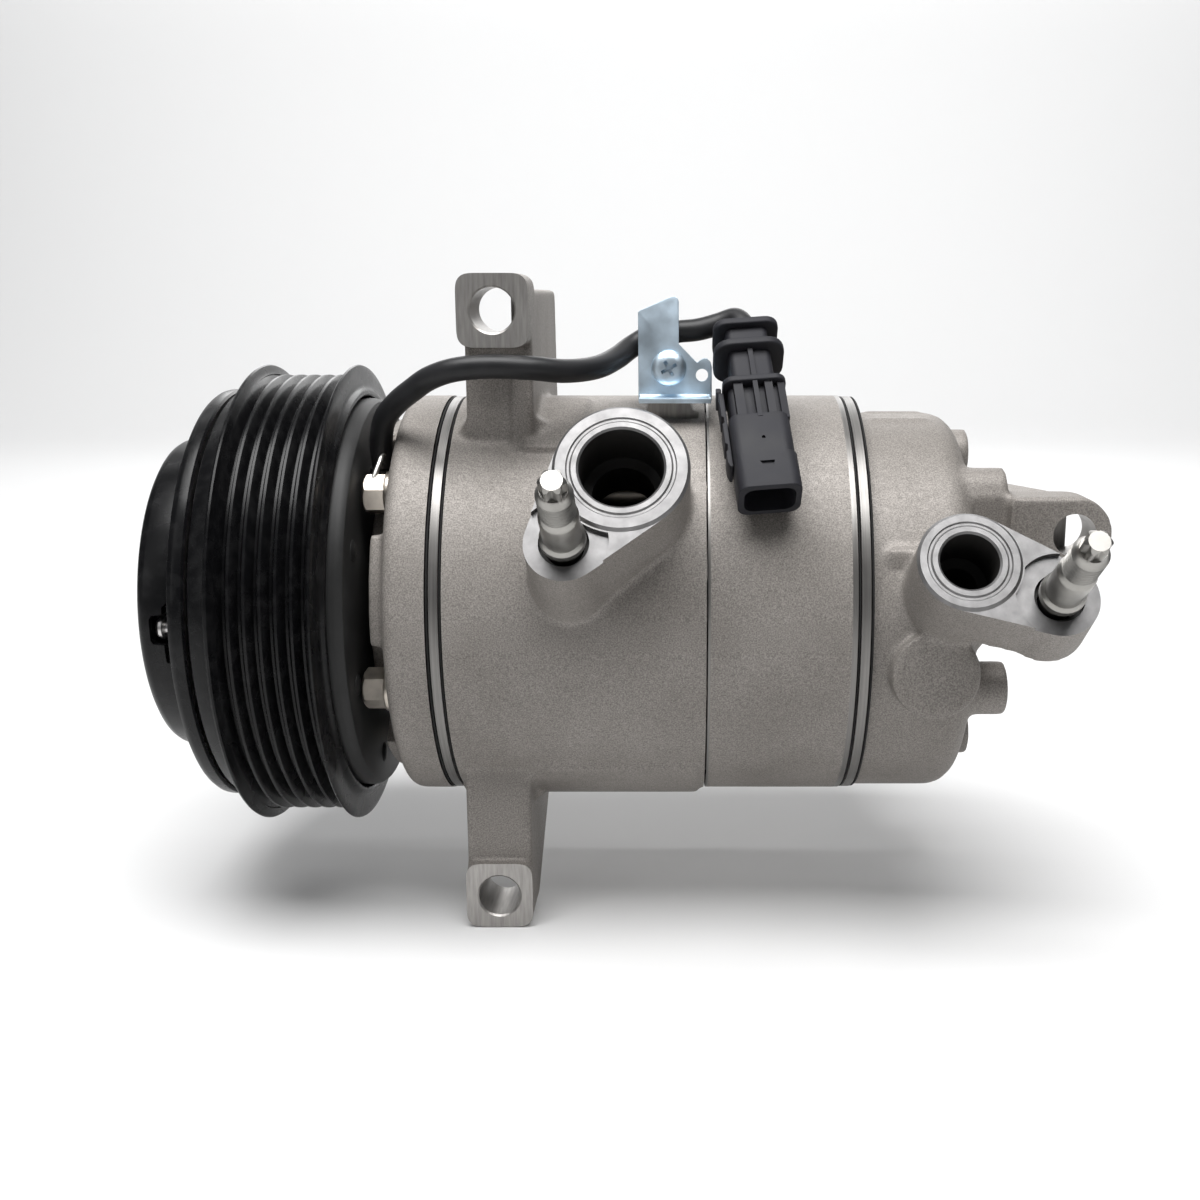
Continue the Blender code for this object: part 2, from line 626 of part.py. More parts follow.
def clutch_hub():
    boss = [(3.9, 7.1), (3.9, 25.0), (8.5, 25.0), (8.5, 13.0), (22.0, 12.4), (22.0, 7.1)]
    hub = add("clutch_hub", turned(boss, MEDIUM), "black_paint")
    damper = [(3.2, 25.3), (2.6, 29.4), (3.2, 33.5), (9.8, 33.5), (10.4, 29.4), (9.8, 25.3)]
    rubber = add("hub_rubber_damper", turned(damper, MEDIUM), "rubber")
    screw = [
        (0.0, 0.0), (0.0, 6.0), (0.5, 6.6), (2.6, 6.6), (2.6, 8.4),
        (3.6, 8.4), (3.6, 2.9), (21.0, 2.9), (22.0, 2.0),
        (22.0, 0.0),
    ]
    bolt = add("hub_bolt", turned(screw, MEDIUM), "bright_steel")
    return [hub, rubber, bolt]


def armature():
    """The part of the clutch that the coil pulls back: cup, friction plate and rivets."""
    cup = [
        (0.4, 33.8), (0.4, 38.0), (1.0, 39.2), (2.2, CUP_RADIUS), (12.0, CUP_RADIUS), (12.0, 33.8),
    ]
    hub_cup = add("hub_cup", turned(cup, LARGE), "black_paint")
    windows = []
    for angle in RIVET_ANGLES:
        frame = axes((0, math.cos(angle), math.sin(angle)), (0, -math.sin(angle), math.cos(angle)), (1, 0, 0))
        windows.append(prism(rounded(34.6, 45.0, -8.4, 8.4, 1.0, 2), 4.2, 14.0, frame))
    shape(hub_cup, "DIFFERENCE", merged(windows))
    end = PULLEY_FRONT_X - ARMATURE_GAP - 0.05
    start = end - ARMATURE_THICKNESS
    disc = [(start, 30.0), (start, ARMATURE_RADIUS - 1.2), (start + 1.2, ARMATURE_RADIUS)]
    disc += [(end, ARMATURE_RADIUS), (end, 30.0)]
    friction = add("armature_plate", turned(disc, LARGE), "black_paint")
    holes = [
        pointing(cylinder(0, 8, 1.9, TINY), around(RIVET_PITCH, angle, start - 1), (1, 0, 0))
        for angle in RIVET_ANGLES
    ]
    shape(friction, "DIFFERENCE", merged(holes))
    pieces = [hub_cup, friction]
    for number, angle in enumerate(RIVET_ANGLES, 1):
        profile = [(4.6, 0.0), (4.6, 1.6), (5.2, 2.3), (6.4, 2.3)]
        profile += [(6.4, 1.6), (end - 0.2, 1.6), (end - 0.2, 0.0)]
        rivet = pointing(turned(profile, TINY), around(RIVET_PITCH, angle), (1, 0, 0))
        pieces.append(add(f"armature_rivet_{number}", rivet, "bright_steel"))
    return pieces


def drive_shaft():
    profile = [
        (23.0, 0.0), (23.0, 3.2), (3.9, 3.2), (3.9, SHAFT_NOSE_RADIUS - 0.4), (4.4, SHAFT_NOSE_RADIUS),
        (24.0, SHAFT_NOSE_RADIUS), (24.0, SHAFT_RADIUS), (SHAFT_END_X, SHAFT_RADIUS), (SHAFT_END_X, 0.0),
    ]
    return add("drive_shaft", turned(profile, MEDIUM), "bright_steel")


def swash_plate():
    disc = cylinder(-SWASH_THICKNESS / 2, SWASH_THICKNESS / 2, SWASH_RADIUS, MEDIUM)
    disc.transform(Matrix.Translation((SWASH_CENTRE_X * MM, 0, 0)) @ Matrix.Rotation(SWASH_TILT, 4, "Z"))
    piece = add("swash_plate", disc, "brass")
    shape(piece, "UNION", cylinder(SWASH_CENTRE_X - 14.4, SWASH_CENTRE_X + 14.4, 14.4, MEDIUM))
    shape(piece, "DIFFERENCE", cylinder(SWASH_CENTRE_X - 16, SWASH_CENTRE_X + 16, SHAFT_RADIUS + FIT, MEDIUM))
    return piece


def shaft_bearings():
    """Needle bearings, thrust bearings, the lip seal and its ring, all held in the casing."""
    clear = (SHAFT_RADIUS + FIT) / math.cos(math.pi / MEDIUM)
    rings = [
        ("front_needle_bearing", 78.0, 92.0, clear, 11.5, "bright_steel"),
        ("rear_needle_bearing", 150.1, 162.0, clear, 11.5, "bright_steel"),
        ("front_thrust_bearing", 103.3, 106.7, 9.0, 14.4, "bright_steel"),
        ("rear_thrust_bearing", 136.1, 139.7, 9.0, 14.4, "bright_steel"),
        ("shaft_seal", 46.0, 56.6, clear, 12.0, "rubber"),
        ("seal_retaining_ring", 43.8, 45.4, 9.4, 12.0, "bright_steel"),
    ]
    for name, start, end, inner, outer, finish in rings:
        add(name, turned([(start, inner), (start, outer), (end, outer), (end, inner)], MEDIUM), finish)


def piston_rest(angle):
    """How far from mid-stroke the tilted plate holds this cylinder's piston."""
    return -CYLINDER_PITCH * math.tan(SWASH_TILT) * math.cos(angle)


def pistons():
    for number, angle in enumerate(cylinder_angles(), 1):
        centre_x = SWASH_CENTRE_X + piston_rest(angle)
        empty = moving_frame(f"piston_{number}_axis", *around(CYLINDER_PITCH, angle, centre_x))
        half = PISTON_LENGTH / 2
        body = cylinder(-half, half, BORE_RADIUS - FIT, MEDIUM)
        piston = add(f"piston_{number}", body, "machined_aluminium", empty)
        frame = axes((0, math.cos(angle), math.sin(angle)), (0, -math.sin(angle), math.cos(angle)), (1, 0, 0))
        waist = [(-16.0, -16.0), (9.0, -16.0), (9.0, 16.0), (-16.0, 16.0)]
        shape(piston, "DIFFERENCE", prism(waist, -PISTON_WAIST / 2, PISTON_WAIST / 2, frame))


def bracket_and_screw():
    outline = [
        (118.4, 50.7), (136.2, 50.7), (136.2, 59.6), (135.0, 61.2), (132.6, 60.2),
        (128.2, 64.6), (128.2, 75.0), (126.6, 75.9), (118.4, 72.1),
    ]
    depth = -BRACKET_FACE_Y
    piece = add("connector_bracket", prism(outline, depth - SHEET, depth, facing_minus_y()), "zinc")
    foot = rounded(118.6, 136.0, 50.9, 50.9 + SHEET, 0.3, 1)
    shape(piece, "UNION", prism(foot, depth - SHEET / 2, depth + 7.0, facing_minus_y()))
    shape(piece, "DIFFERENCE", pointing(cylinder(0, 4, 2.6, SMALL), (SCREW_X, -15.0, SCREW_Z), (0, -1, 0)))
    shape(piece, "DIFFERENCE", pointing(cylinder(0, 4, 1.5, TINY), (133.8, -15.0, 57.2), (0, -1, 0)))
    head = depth - 8.0 + GAP
    screw = [
        (0.0, 0.0), (0.0, 2.0), (head, 2.0), (head, 4.25),
        (head + 1.6, 4.25), (head + 2.6, 3.2), (head + 2.9, 1.6),
        (head + 2.9, 0.0),
    ]
    add("bracket_screw", pointing(turned(screw, SMALL), (SCREW_X, -8.0, SCREW_Z), (0, -1, 0)), "zinc")


def connector():
    along = (CONNECTOR_MOUTH - CONNECTOR_TOP).normalized()
    across = (Vector((1, 0, 0)) - along * along.x).normalized()
    frame = axes(across, along.cross(across), along, CONNECTOR_TOP)
    length = (CONNECTOR_MOUTH - CONNECTOR_TOP).length
    block = prism(rounded(-7.2, 7.2, -5.4, 5.4, 2.2), 28.5, length, frame)
    piece = add("connector_housing", block, "plastic")
    for outline, start, end in (
        (rounded(-5.0, 5.0, -4.6, 4.6, 1.6), 0.4, 18.4),
        (rounded(-7.8, 7.8, -6.4, 6.4, 3.2), 0.0, 1.9),
        (rounded(-8.4, 8.4, -7.0, 7.0, 4.4), 6.9, 8.9),
        (rounded(-7.4, 7.4, -5.8, 5.8, 2.6), 17.4, 19.0),
        (rounded(-6.3, 6.3, -5.3, 3.6, 1.5), 18.6, 29.5),
        (rounded(-0.7, 0.7, -4.0, 5.3, 0.3, 1), 8.0, 29.5),
    ):
        shape(piece, "UNION", prism(outline, start, end, frame))
    shape(piece, "DIFFERENCE", prism(rounded(-5.6, 5.6, -3.8, 3.8, 2.2), length - 13.0, length + 1.0, frame))
    for number, middle in enumerate((-2.5, 2.5), 1):
        blade = rounded(middle - 1.2, middle + 1.2, -0.4, 0.4, 0.2, 1)
        add(f"connector_terminal_{number}", prism(blade, length - 12.7, length - 4.0, frame), "tin")
    clip = [(-30.5, 49.5), (-25.5, 49.5), (-25.5, 54.5), (-30.5, 54.5)]
    add("connector_clip", prism(clip, 136.9, 138.1, side_view()), "plastic")


def smooth_route(points, per_span=3):
    """Points on a smooth curve through the route's own points."""
    ends = [points[0] * 2 - points[1]] + points + [points[-1] * 2 - points[-2]]
    route = []
    for before, start, end, after in zip(ends, ends[1:], ends[2:], ends[3:]):
        for step in range(per_span):
            t = step / per_span
            route.append(0.5 * (
                2 * start + (end - before) * t + (2 * before - 5 * start + 4 * end - after) * t ** 2
                + (3 * start - before - 3 * end + after) * t ** 3
            ))
    return route + [points[-1]]


def coil_lead():
    along = (CONNECTOR_MOUTH - CONNECTOR_TOP).normalized()
    points = [Vector(p) for p in LEAD_ROUTE] + [CONNECTOR_TOP - along * GAP]
    curve = bpy.data.curves.new("coil_lead", "CURVE")
    curve.dimensions = "3D"
    curve.bevel_depth = LEAD_RADIUS * MM
    curve.bevel_resolution = 2
    curve.use_fill_caps = True
    route = smooth_route(points, 2)
    spline = curve.splines.new("POLY")
    spline.points.add(len(route) - 1)
    for knot, place in zip(spline.points, route):
        knot.co = (*(place * MM), 1.0)
    lead = bpy.data.objects.new("coil_lead", curve)
    bpy.context.scene.collection.objects.link(lead)
    curve.materials.append(bpy.data.materials["rubber"])


def build():
    clear_scene()
    make_finishes()
    front_housing()
    casing_plates()
    front_cylinder_block()
    rear_cylinder_block()
    rear_head()
    pressure_relief_valve()
    through_bolts()
    port_stud("suction_port_stud", SUCTION)
    port_stud("discharge_port_stud", DISCHARGE)
    magnetic_coil()
    bracket_and_screw()
    connector()
    coil_lead()
    shaft_bearings()
    ride(pulley_bearing() + [pulley()], moving_frame("pulley_axis", RIB_CENTRE_X))
    ride(clutch_hub() + [drive_shaft()], moving_frame("shaft_axis", SHAFT_END_X / 2))
    swash_plate()
    armature()
    pistons()


build()
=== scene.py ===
"""Looks of a swash-plate air-conditioning compressor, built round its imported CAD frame.

Sizes are in millimetres and turned into metres by MM. X runs along the shaft from
the drive end, Z is up and the ports face -Y. Angles about the shaft run from +Y
towards +Z.
"""

import math

import bmesh
import bpy
import numpy as np
from mathutils import Matrix, Vector


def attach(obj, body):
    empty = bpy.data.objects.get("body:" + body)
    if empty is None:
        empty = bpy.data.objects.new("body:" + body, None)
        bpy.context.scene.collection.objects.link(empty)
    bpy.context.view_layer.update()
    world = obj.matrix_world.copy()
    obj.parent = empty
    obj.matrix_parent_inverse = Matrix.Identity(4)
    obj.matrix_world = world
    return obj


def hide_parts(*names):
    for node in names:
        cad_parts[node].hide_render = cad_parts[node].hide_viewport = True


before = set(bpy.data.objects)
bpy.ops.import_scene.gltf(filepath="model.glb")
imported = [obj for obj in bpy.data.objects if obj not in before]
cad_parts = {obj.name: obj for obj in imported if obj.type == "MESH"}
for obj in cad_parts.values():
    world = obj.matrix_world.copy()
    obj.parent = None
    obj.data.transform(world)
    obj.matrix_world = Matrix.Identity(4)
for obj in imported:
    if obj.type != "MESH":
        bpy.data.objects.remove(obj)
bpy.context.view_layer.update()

MM = 0.001

# ---------------------------------------------------------------- sizes shared with the CAD, in millimetres

BODY_RADIUS = 51.0
HEAD_JOINT_X = 70.4
BLOCK_START_X = 74.3
MID_JOINT_X = 134.5
BLOCK_END_X = 168.9
REAR_HEAD_X = 172.8
REAR_FACE_X = 198.0
CYLINDER_PITCH = 29.0
BORE_RADIUS = 14.0
CHAMBER_RADIUS = 44.0
CHAMBER_START_X = 103.0
CHAMBER_END_X = 140.0
BOLT_PITCH = 39.5
PATTERN_ANGLE = math.radians(168.0)
CYLINDER_ANGLES = [PATTERN_ANGLE + math.radians(72.0 * k) for k in range(5)]
BOLT_ANGLES = [angle + math.radians(36.0) for angle in CYLINDER_ANGLES]
SWASH_X = 121.4
SWASH_TILT = math.radians(13.6)
PORT_TILT = math.radians(33.5)
SUCTION = {"x": 115.7, "rise": 1.3, "face": 70.0, "bore": 9.05, "ring": 15.2, "stud": (103.6, -15.8)}
DISCHARGE = {"x": 191.0, "rise": -18.1, "face": 63.7, "bore": 6.2, "ring": 11.6, "stud": (210.0, -25.8)}
EAR_FACE_Y = -38.0
EAR_BACK_Y = -22.0
UPPER_ARM_FACE_Y = -28.5
LOWER_ARM_FACE_Y = -35.6
UPPER_EAR = (86.0, 72.8)
LOWER_EAR = (84.0, -68.8)
REAR_EAR = (221.0, 21.0)
REAR_EAR_FACE_Y = -36.4
REAR_EAR_BACK_Y = -24.4
RELIEF_VALVE = (0.0, 12.0, -14.0)
RIVET_ANGLES = [math.radians(181.5 + 120.0 * k) for k in range(3)]

# ---------------------------------------------------------------- camera and light

CAMERA_DISTANCE = 363.0
CAMERA_X = 128.0
CAMERA_RISE = math.radians(12.0)
FOCAL = 41.37
SHIFT = (-0.065, -0.0075)
FLOOR_Z = -77.2


def look_from(place, target):
    """The rotation that turns an object's -Z axis from place towards target."""
    return (Vector(target) - Vector(place)).to_track_quat("-Z", "Y").to_euler()


def add_camera():
    data = bpy.data.cameras.new("camera")
    data.sensor_width = 36.0
    data.lens = FOCAL
    data.shift_x, data.shift_y = SHIFT
    data.clip_start = 0.01
    camera = bpy.data.objects.new("camera", data)
    bpy.context.scene.collection.objects.link(camera)
    aim = Vector((CAMERA_X, 0.0, 0.0)) * MM
    away = Vector((0.0, -math.cos(CAMERA_RISE), math.sin(CAMERA_RISE)))
    camera.location = aim + away * CAMERA_DISTANCE * MM
    camera.rotation_euler = look_from(camera.location, aim)
    bpy.context.scene.camera = camera


def add_light(name, place, target, size, watts, colour=(1.0, 1.0, 1.0)):
    data = bpy.data.lights.new(name, "AREA")
    data.shape = "RECTANGLE"
    data.size, data.size_y = size
    data.energy = watts
    data.color = colour
    light = bpy.data.objects.new(name, data)
    bpy.context.scene.collection.objects.link(light)
    light.location = place
    light.rotation_euler = look_from(place, target)


def add_studio():
    """A large soft key overhead, a faint front fill, a back light and one for the backdrop alone."""
    scene = bpy.context.scene
    scene.view_settings.view_transform = "Standard"
    world = bpy.data.worlds.new("studio")
    scene.world = world
    world.use_nodes = True
    nodes, links = world.node_tree.nodes, world.node_tree.links
    nodes.clear()
    output = nodes.new("ShaderNodeOutputWorld")
    seen = nodes.new("ShaderNodeBackground")
    seen.inputs["Color"].default_value = (1.0, 1.0, 1.0, 1.0)
    seen.inputs["Strength"].default_value = 1.0
    dim = nodes.new("ShaderNodeBackground")
    dim.inputs["Color"].default_value = (0.93, 0.96, 1.0, 1.0)
    dim.inputs["Strength"].default_value = 0.09
    rays = nodes.new("ShaderNodeLightPath")
    mix = nodes.new("ShaderNodeMixShader")
    links.new(rays.outputs["Is Camera Ray"], mix.inputs["Fac"])
    links.new(dim.outputs[0], mix.inputs[1])
    links.new(seen.outputs[0], mix.inputs[2])
    links.new(mix.outputs[0], output.inputs["Surface"])
    middle = (0.12, 0.0, 0.0)
    add_light("top", (0.08, -0.22, 0.7), middle, (0.8, 0.45), 12.0)
    add_light("front_left", (-0.5, -0.6, 0.35), middle, (0.12, 0.6), 0.3)
    add_light("back", (0.1, 0.9, 0.5), middle, (0.9, 0.4), 3.0)
    add_light("backdrop", (0.12, 0.75, 1.1), (0.12, 1.6, 0.35), (2.4, 0.4), 22.0)


def add_floor():
    """A pale floor that curves up behind into a backdrop."""
    steps, radius, half = 16, 0.5, 2.5
    back = 1.1
    outline = [(-2.2, 0.0)]
    for step in range(steps + 1):
        angle = math.pi / 2 * step / steps
        outline.append((back + radius * math.sin(angle), radius - radius * math.cos(angle)))
    outline.append((back + radius, 2.0))
    bm = bmesh.new()
    rows = [[bm.verts.new((x, y, z + FLOOR_Z * MM)) for y, z in outline] for x in (0.12 - half, 0.12 + half)]
    for left, right in zip(zip(rows[0], rows[0][1:]), zip(rows[1], rows[1][1:])):
        bm.faces.new((left[0], right[0], right[1], left[1]))
    mesh = bpy.data.meshes.new("floor")
    bm.to_mesh(mesh)
    bm.free()
    mesh.shade_smooth()
    floor = bpy.data.objects.new("floor", mesh)
    bpy.context.scene.collection.objects.link(floor)
    pale = bpy.data.materials.new("pale_floor")
    pale.use_nodes = True
    shader = pale.node_tree.nodes["Principled BSDF"]
    shader.inputs["Base Color"].default_value = (0.66, 0.66, 0.66, 1.0)
    shader.inputs["Roughness"].default_value = 0.8
    shader.inputs["Emission Color"].default_value = (1.0, 1.0, 1.0, 1.0)
    shader.inputs["Emission Strength"].default_value = 0.05
    mesh.materials.append(pale)


# ---------------------------------------------------------------- materials


def new_material(name, colour, roughness, metallic=0.0, coat=0.0):
    made = bpy.data.materials.new(name)
    made.use_nodes = True
    shader = made.node_tree.nodes["Principled BSDF"]
    shader.inputs["Base Color"].default_value = (*colour, 1.0)
    shader.inputs["Roughness"].default_value = roughness
    shader.inputs["Metallic"].default_value = metallic
    if coat:
        shader.inputs["Coat Weight"].default_value = coat
        shader.inputs["Coat Roughness"].default_value = 0.08
    return made, shader


def add_noise(made, scale, detail=3.0, stretch=(1.0, 1.0, 1.0)):
    nodes, links = made.node_tree.nodes, made.node_tree.links
    place = nodes.new("ShaderNodeTexCoord")
    mapping = nodes.new("ShaderNodeMapping")
    mapping.inputs["Scale"].default_value = stretch
    noise = nodes.new("ShaderNodeTexNoise")
    noise.inputs["Scale"].default_value = scale
    noise.inputs["Detail"].default_value = detail
    links.new(place.outputs["Object"], mapping.inputs["Vector"])
    links.new(mapping.outputs["Vector"], noise.inputs["Vector"])
    return noise.outputs["Fac"]


def ramp(made, value, stops):
    """A colour ramp over a value; stops are (place, colour)."""
    node = made.node_tree.nodes.new("ShaderNodeValToRGB")
    node.color_ramp.elements[0].position = stops[0][0]
    node.color_ramp.elements[1].position = stops[-1][0]
    for place, _ in stops[1:-1]:
        node.color_ramp.elements.new(place)
    for element, (_, colour) in zip(node.color_ramp.elements, stops):
        element.color = (*colour, 1.0) if len(colour) == 3 else colour
    made.node_tree.links.new(value, node.inputs["Fac"])
    return node.outputs["Color"]


def multiply(made, first, second):
    node = made.node_tree.nodes.new("ShaderNodeMix")
    node.data_type = "RGBA"
    node.blend_type = "MULTIPLY"
    node.inputs["Factor"].default_value = 1.0
    made.node_tree.links.new(first, node.inputs["A"])
    made.node_tree.links.new(second, node.inputs["B"])
    return node.outputs["Result"]


def span(made, value, low, high):
    """A value from 0 to 1 mapped to low to high."""
    node = made.node_tree.nodes.new("ShaderNodeMapRange")
    node.inputs["To Min"].default_value = low
    node.inputs["To Max"].default_value = high
    made.node_tree.links.new(value, node.inputs["Value"])
    return node.outputs["Result"]


def bump(made, shader, height, strength, depth_mm, after=None):
    node = made.node_tree.nodes.new("ShaderNodeBump")
    node.inputs["Strength"].default_value = strength
    node.inputs["Distance"].default_value = depth_mm * MM
    made.node_tree.links.new(height, node.inputs["Height"])
    if after:
        made.node_tree.links.new(after, node.inputs["Normal"])
    made.node_tree.links.new(node.outputs["Normal"], shader.inputs["Normal"])
    return node.outputs["Normal"]


def cast_aluminium():
    """Sand-blasted casting: a salt-and-pepper grain, faint stains and a rough bump."""
    made, shader = new_material("cast_aluminium", (0.23, 0.215, 0.2), 0.62, 0.35)
    grain = ramp(made, add_noise(made, 3200.0, 2.0), [(0.3, (0.6, 0.59, 0.58)), (0.7, (1.3, 1.29, 1.28))])
    stain = ramp(
        made, add_noise(made, 38.0, 3.0), [(0.3, (0.205, 0.19, 0.175)), (0.7, (0.265, 0.248, 0.232))]
    )
    made.node_tree.links.new(multiply(made, stain, grain), shader.inputs["Base Color"])
    made.node_tree.links.new(span(made, add_noise(made, 700.0), 0.48, 0.75), shader.inputs["Roughness"])
    coarse = bump(made, shader, add_noise(made, 1100.0, 2.0), 0.2, 0.08)
    bump(made, shader, add_noise(made, 3000.0, 3.0), 0.4, 0.04, coarse)
    return made


def machined(name, colour, stretch, roughness=(0.3, 0.48)):
    """A turned or milled face, with fine tool lines across the stretched direction."""
    made, shader = new_material(name, colour, 0.38, 0.8)
    lines = add_noise(made, 1.0, 4.0, stretch)
    tint = ramp(
        made, lines, [(0.3, tuple(c * 0.8 for c in colour)), (0.7, tuple(min(c * 1.15, 1) for c in colour))]
    )
    made.node_tree.links.new(tint, shader.inputs["Base Color"])
    made.node_tree.links.new(span(made, add_noise(made, 160.0), *roughness), shader.inputs["Roughness"])
    bump(made, shader, lines, 0.35, 0.02)
    return made


def gloss_black():
    """Black dip paint: nearly smooth, with a faint orange peel and a little dust."""
    made, shader = new_material("gloss_black", (0.003, 0.003, 0.0035), 0.28)
    shader.inputs["Specular IOR Level"].default_value = 0.2
    dust = ramp(
        made, add_noise(made, 300.0, 5.0), [(0.45, (0.0035, 0.0035, 0.004)), (0.8, (0.012, 0.012, 0.0125))]
    )
    made.node_tree.links.new(dust, shader.inputs["Base Color"])
    made.node_tree.links.new(span(made, add_noise(made, 90.0), 0.18, 0.36), shader.inputs["Roughness"])
    bump(made, shader, add_noise(made, 260.0, 2.0), 0.12, 0.15)
    return made


def metal(name, colour, roughness, fleck=250.0):
    made, shader = new_material(name, colour, roughness, 1.0)
    cloud = add_noise(made, fleck, 4.0)
    tint = ramp(
        made, cloud, [(0.3, tuple(c * 0.78 for c in colour)), (0.7, tuple(min(c * 1.12, 1) for c in colour))]
    )
    made.node_tree.links.new(tint, shader.inputs["Base Color"])
    made.node_tree.links.new(span(made, cloud, roughness * 0.75, roughness * 1.4), shader.inputs["Roughness"])
    bump(made, shader, add_noise(made, 900.0), 0.12, 0.04)
    return made


def soft_black(name, colour, roughness, grain=900.0):
    made, shader = new_material(name, colour, roughness)
    shader.inputs["Specular IOR Level"].default_value = 0.3
    cloud = add_noise(made, 120.0, 4.0)
    tint = ramp(made, cloud, [(0.3, colour), (0.75, tuple(c * 1.7 for c in colour))])
    made.node_tree.links.new(tint, shader.inputs["Base Color"])
    made.node_tree.links.new(span(made, cloud, roughness * 0.85, roughness * 1.2), shader.inputs["Roughness"])
    bump(made, shader, add_noise(made, grain, 2.0), 0.25, 0.05)
    return made


add_camera()
add_studio()
add_floor()

CAST = cast_aluminium()
BAND = machined("turned_aluminium", (0.2, 0.193, 0.185), (2600.0, 30.0, 30.0))
MILLED = machined("milled_aluminium", (0.36, 0.345, 0.33), (1500.0, 150.0, 150.0))
FACED = machined("faced_aluminium", (0.19, 0.187, 0.187), (350.0, 350.0, 350.0), (0.34, 0.55))
BLACK = gloss_black()
# Near-black inside finish: painted shade standing in for the darkness deep in the port throats and stud holes.
BORE_SHADE = soft_black("bore_painted_shade", (0.02, 0.019, 0.018), 0.5)
COIL_BLACK = soft_black("coil_black", (0.012, 0.012, 0.012), 0.5)
RUBBER = soft_black("black_rubber", (0.008, 0.008, 0.008), 0.6)
SLEEVE = soft_black("lead_sleeve", (0.011, 0.011, 0.012), 0.42, 400.0)
PLASTIC = soft_black("connector_nylon", (0.01, 0.01, 0.013), 0.6, 1400.0)
STEEL = metal("ground_steel", (0.56, 0.55, 0.54), 0.28)
BOLT = metal("bolt_steel", (0.55, 0.5, 0.44), 0.33)
ZINC = metal("zinc_plate", (0.66, 0.78, 0.88), 0.42, 160.0)
STUD = metal("stud_steel", (0.36, 0.35, 0.33), 0.32, 160.0)
COPPER = metal("copper_wire", (0.72, 0.32, 0.16), 0.35)
TIN = metal("tin_plate", (0.72, 0.71, 0.68), 0.3)
BRASS = metal("turned_brass", (0.72, 0.52, 0.24), 0.3)
IRON = metal("ground_iron", (0.34, 0.33, 0.32), 0.35)
GASKET = soft_black("gasket_sheet", (0.006, 0.006, 0.006), 0.75)

# ---------------------------------------------------------------- mesh helpers

LARGE = 160
MIDDLE = 72
SMALL = 36
TINY = 20
VOXEL = 0.7
FINISHES = [CAST, BAND, MILLED, FACED, BORE_SHADE]
SHARP = math.radians(30.0)


def turned(profile, steps=LARGE):
    """A solid turned about X from a closed loop of (x, radius) points."""
    bm = bmesh.new()
    points = [bm.verts.new((x * MM, 0.0, radius * MM)) for x, radius in profile]
    for first, second in zip(points, points[1:] + points[:1]):
        if first.co.z > 0.0 or second.co.z > 0.0:
            bm.edges.new((first, second))
    bmesh.ops.spin(
        bm, geom=bm.verts[:] + bm.edges[:], cent=(0, 0, 0), axis=(1, 0, 0), angle=2 * math.pi, steps=steps
    )
    bmesh.ops.remove_doubles(bm, verts=bm.verts, dist=1e-6)
    bmesh.ops.dissolve_degenerate(bm, edges=bm.edges, dist=1e-6)
    return outward(bm)


def cylinder(start, end, radius, steps=SMALL):
    return turned([(start, 0.0), (start, radius), (end, radius), (end, 0.0)], steps)


def prism(outline, near, far, place=None):
    """A solid extruded from near to far along the frame's third axis, over an outline in its first two."""
    bm = bmesh.new()
    face = bm.faces.new([bm.verts.new((a * MM, b * MM, near * MM)) for a, b in outline])
    extruded = bmesh.ops.extrude_face_region(bm, geom=[face])
    top = [item for item in extruded["geom"] if isinstance(item, bmesh.types.BMVert)]
    bmesh.ops.translate(bm, verts=top, vec=(0.0, 0.0, (far - near) * MM))
    if place is not None:
        bm.transform(place)
    return outward(bm)


def outward(bm):
    bmesh.ops.recalc_face_normals(bm, faces=bm.faces)
    if bm.calc_volume(signed=True) < 0.0:
        bmesh.ops.reverse_faces(bm, faces=bm.faces)
    return bm


def merged(shapes):
    whole = bmesh.new()
    for shape in shapes:
        mesh = bpy.data.meshes.new("shape")
        shape.to_mesh(mesh)
        shape.free()
        whole.from_mesh(mesh)
        bpy.data.meshes.remove(mesh)
    return whole


def softened(bm, width, segments=3, limit=35.0):
    """Rounds every edge sharper than limit degrees."""
    edges = [
        edge
        for edge in bm.edges if len(edge.link_faces) == 2 and edge.calc_face_angle() > math.radians(limit)
    ]
    bmesh.ops.bevel(
        bm, geom=edges, offset=width * MM, offset_type="OFFSET", segments=segments, profile=0.5,
        affect="EDGES", clamp_overlap=True,
    )
    return bm


def axes(first, second, third, origin=(0.0, 0.0, 0.0)):
    """A frame from three directions and an origin in millimetres."""
    matrix = Matrix((first, second, third)).transposed().to_4x4()
    matrix.translation = Vector(origin) * MM
    return matrix


def facing_minus_y():
    """First axis +X, second +Z, third -Y: depth grows towards the front."""
    return axes((1, 0, 0), (0, 0, 1), (0, -1, 0))


def side_view():
    """First axis +Y, second +Z, third +X."""
    return axes((0, 1, 0), (0, 0, 1), (1, 0, 0))


def port_frame():
    """First axis +X, second up the sloping face, third out of the face."""
    sine, cosine = math.sin(PORT_TILT), math.cos(PORT_TILT)
    return axes((1, 0, 0), (0, sine, cosine), (0, -cosine, sine))


def pointing(bm, origin, direction):
    """Turns a shape made along +X to point along a direction, and moves its start to an origin."""
    turn = Vector((1, 0, 0)).rotation_difference(Vector(direction)).to_matrix().to_4x4()
    bm.transform(Matrix.Translation(Vector(origin) * MM) @ turn)
    return bm


def in_port(bm, x, rise):
    """Stands a shape turned about X on a port's axis: its X becomes the depth out of the body."""
    turn = Matrix.Translation(Vector((x, rise, 0.0)) * MM) @ axes((0, 0, 1), (1, 0, 0), (0, 1, 0))
    bm.transform(port_frame() @ turn)
    return bm


def around(radius, angle, x=0.0):
    return Vector((x, radius * math.cos(angle), radius * math.sin(angle)))


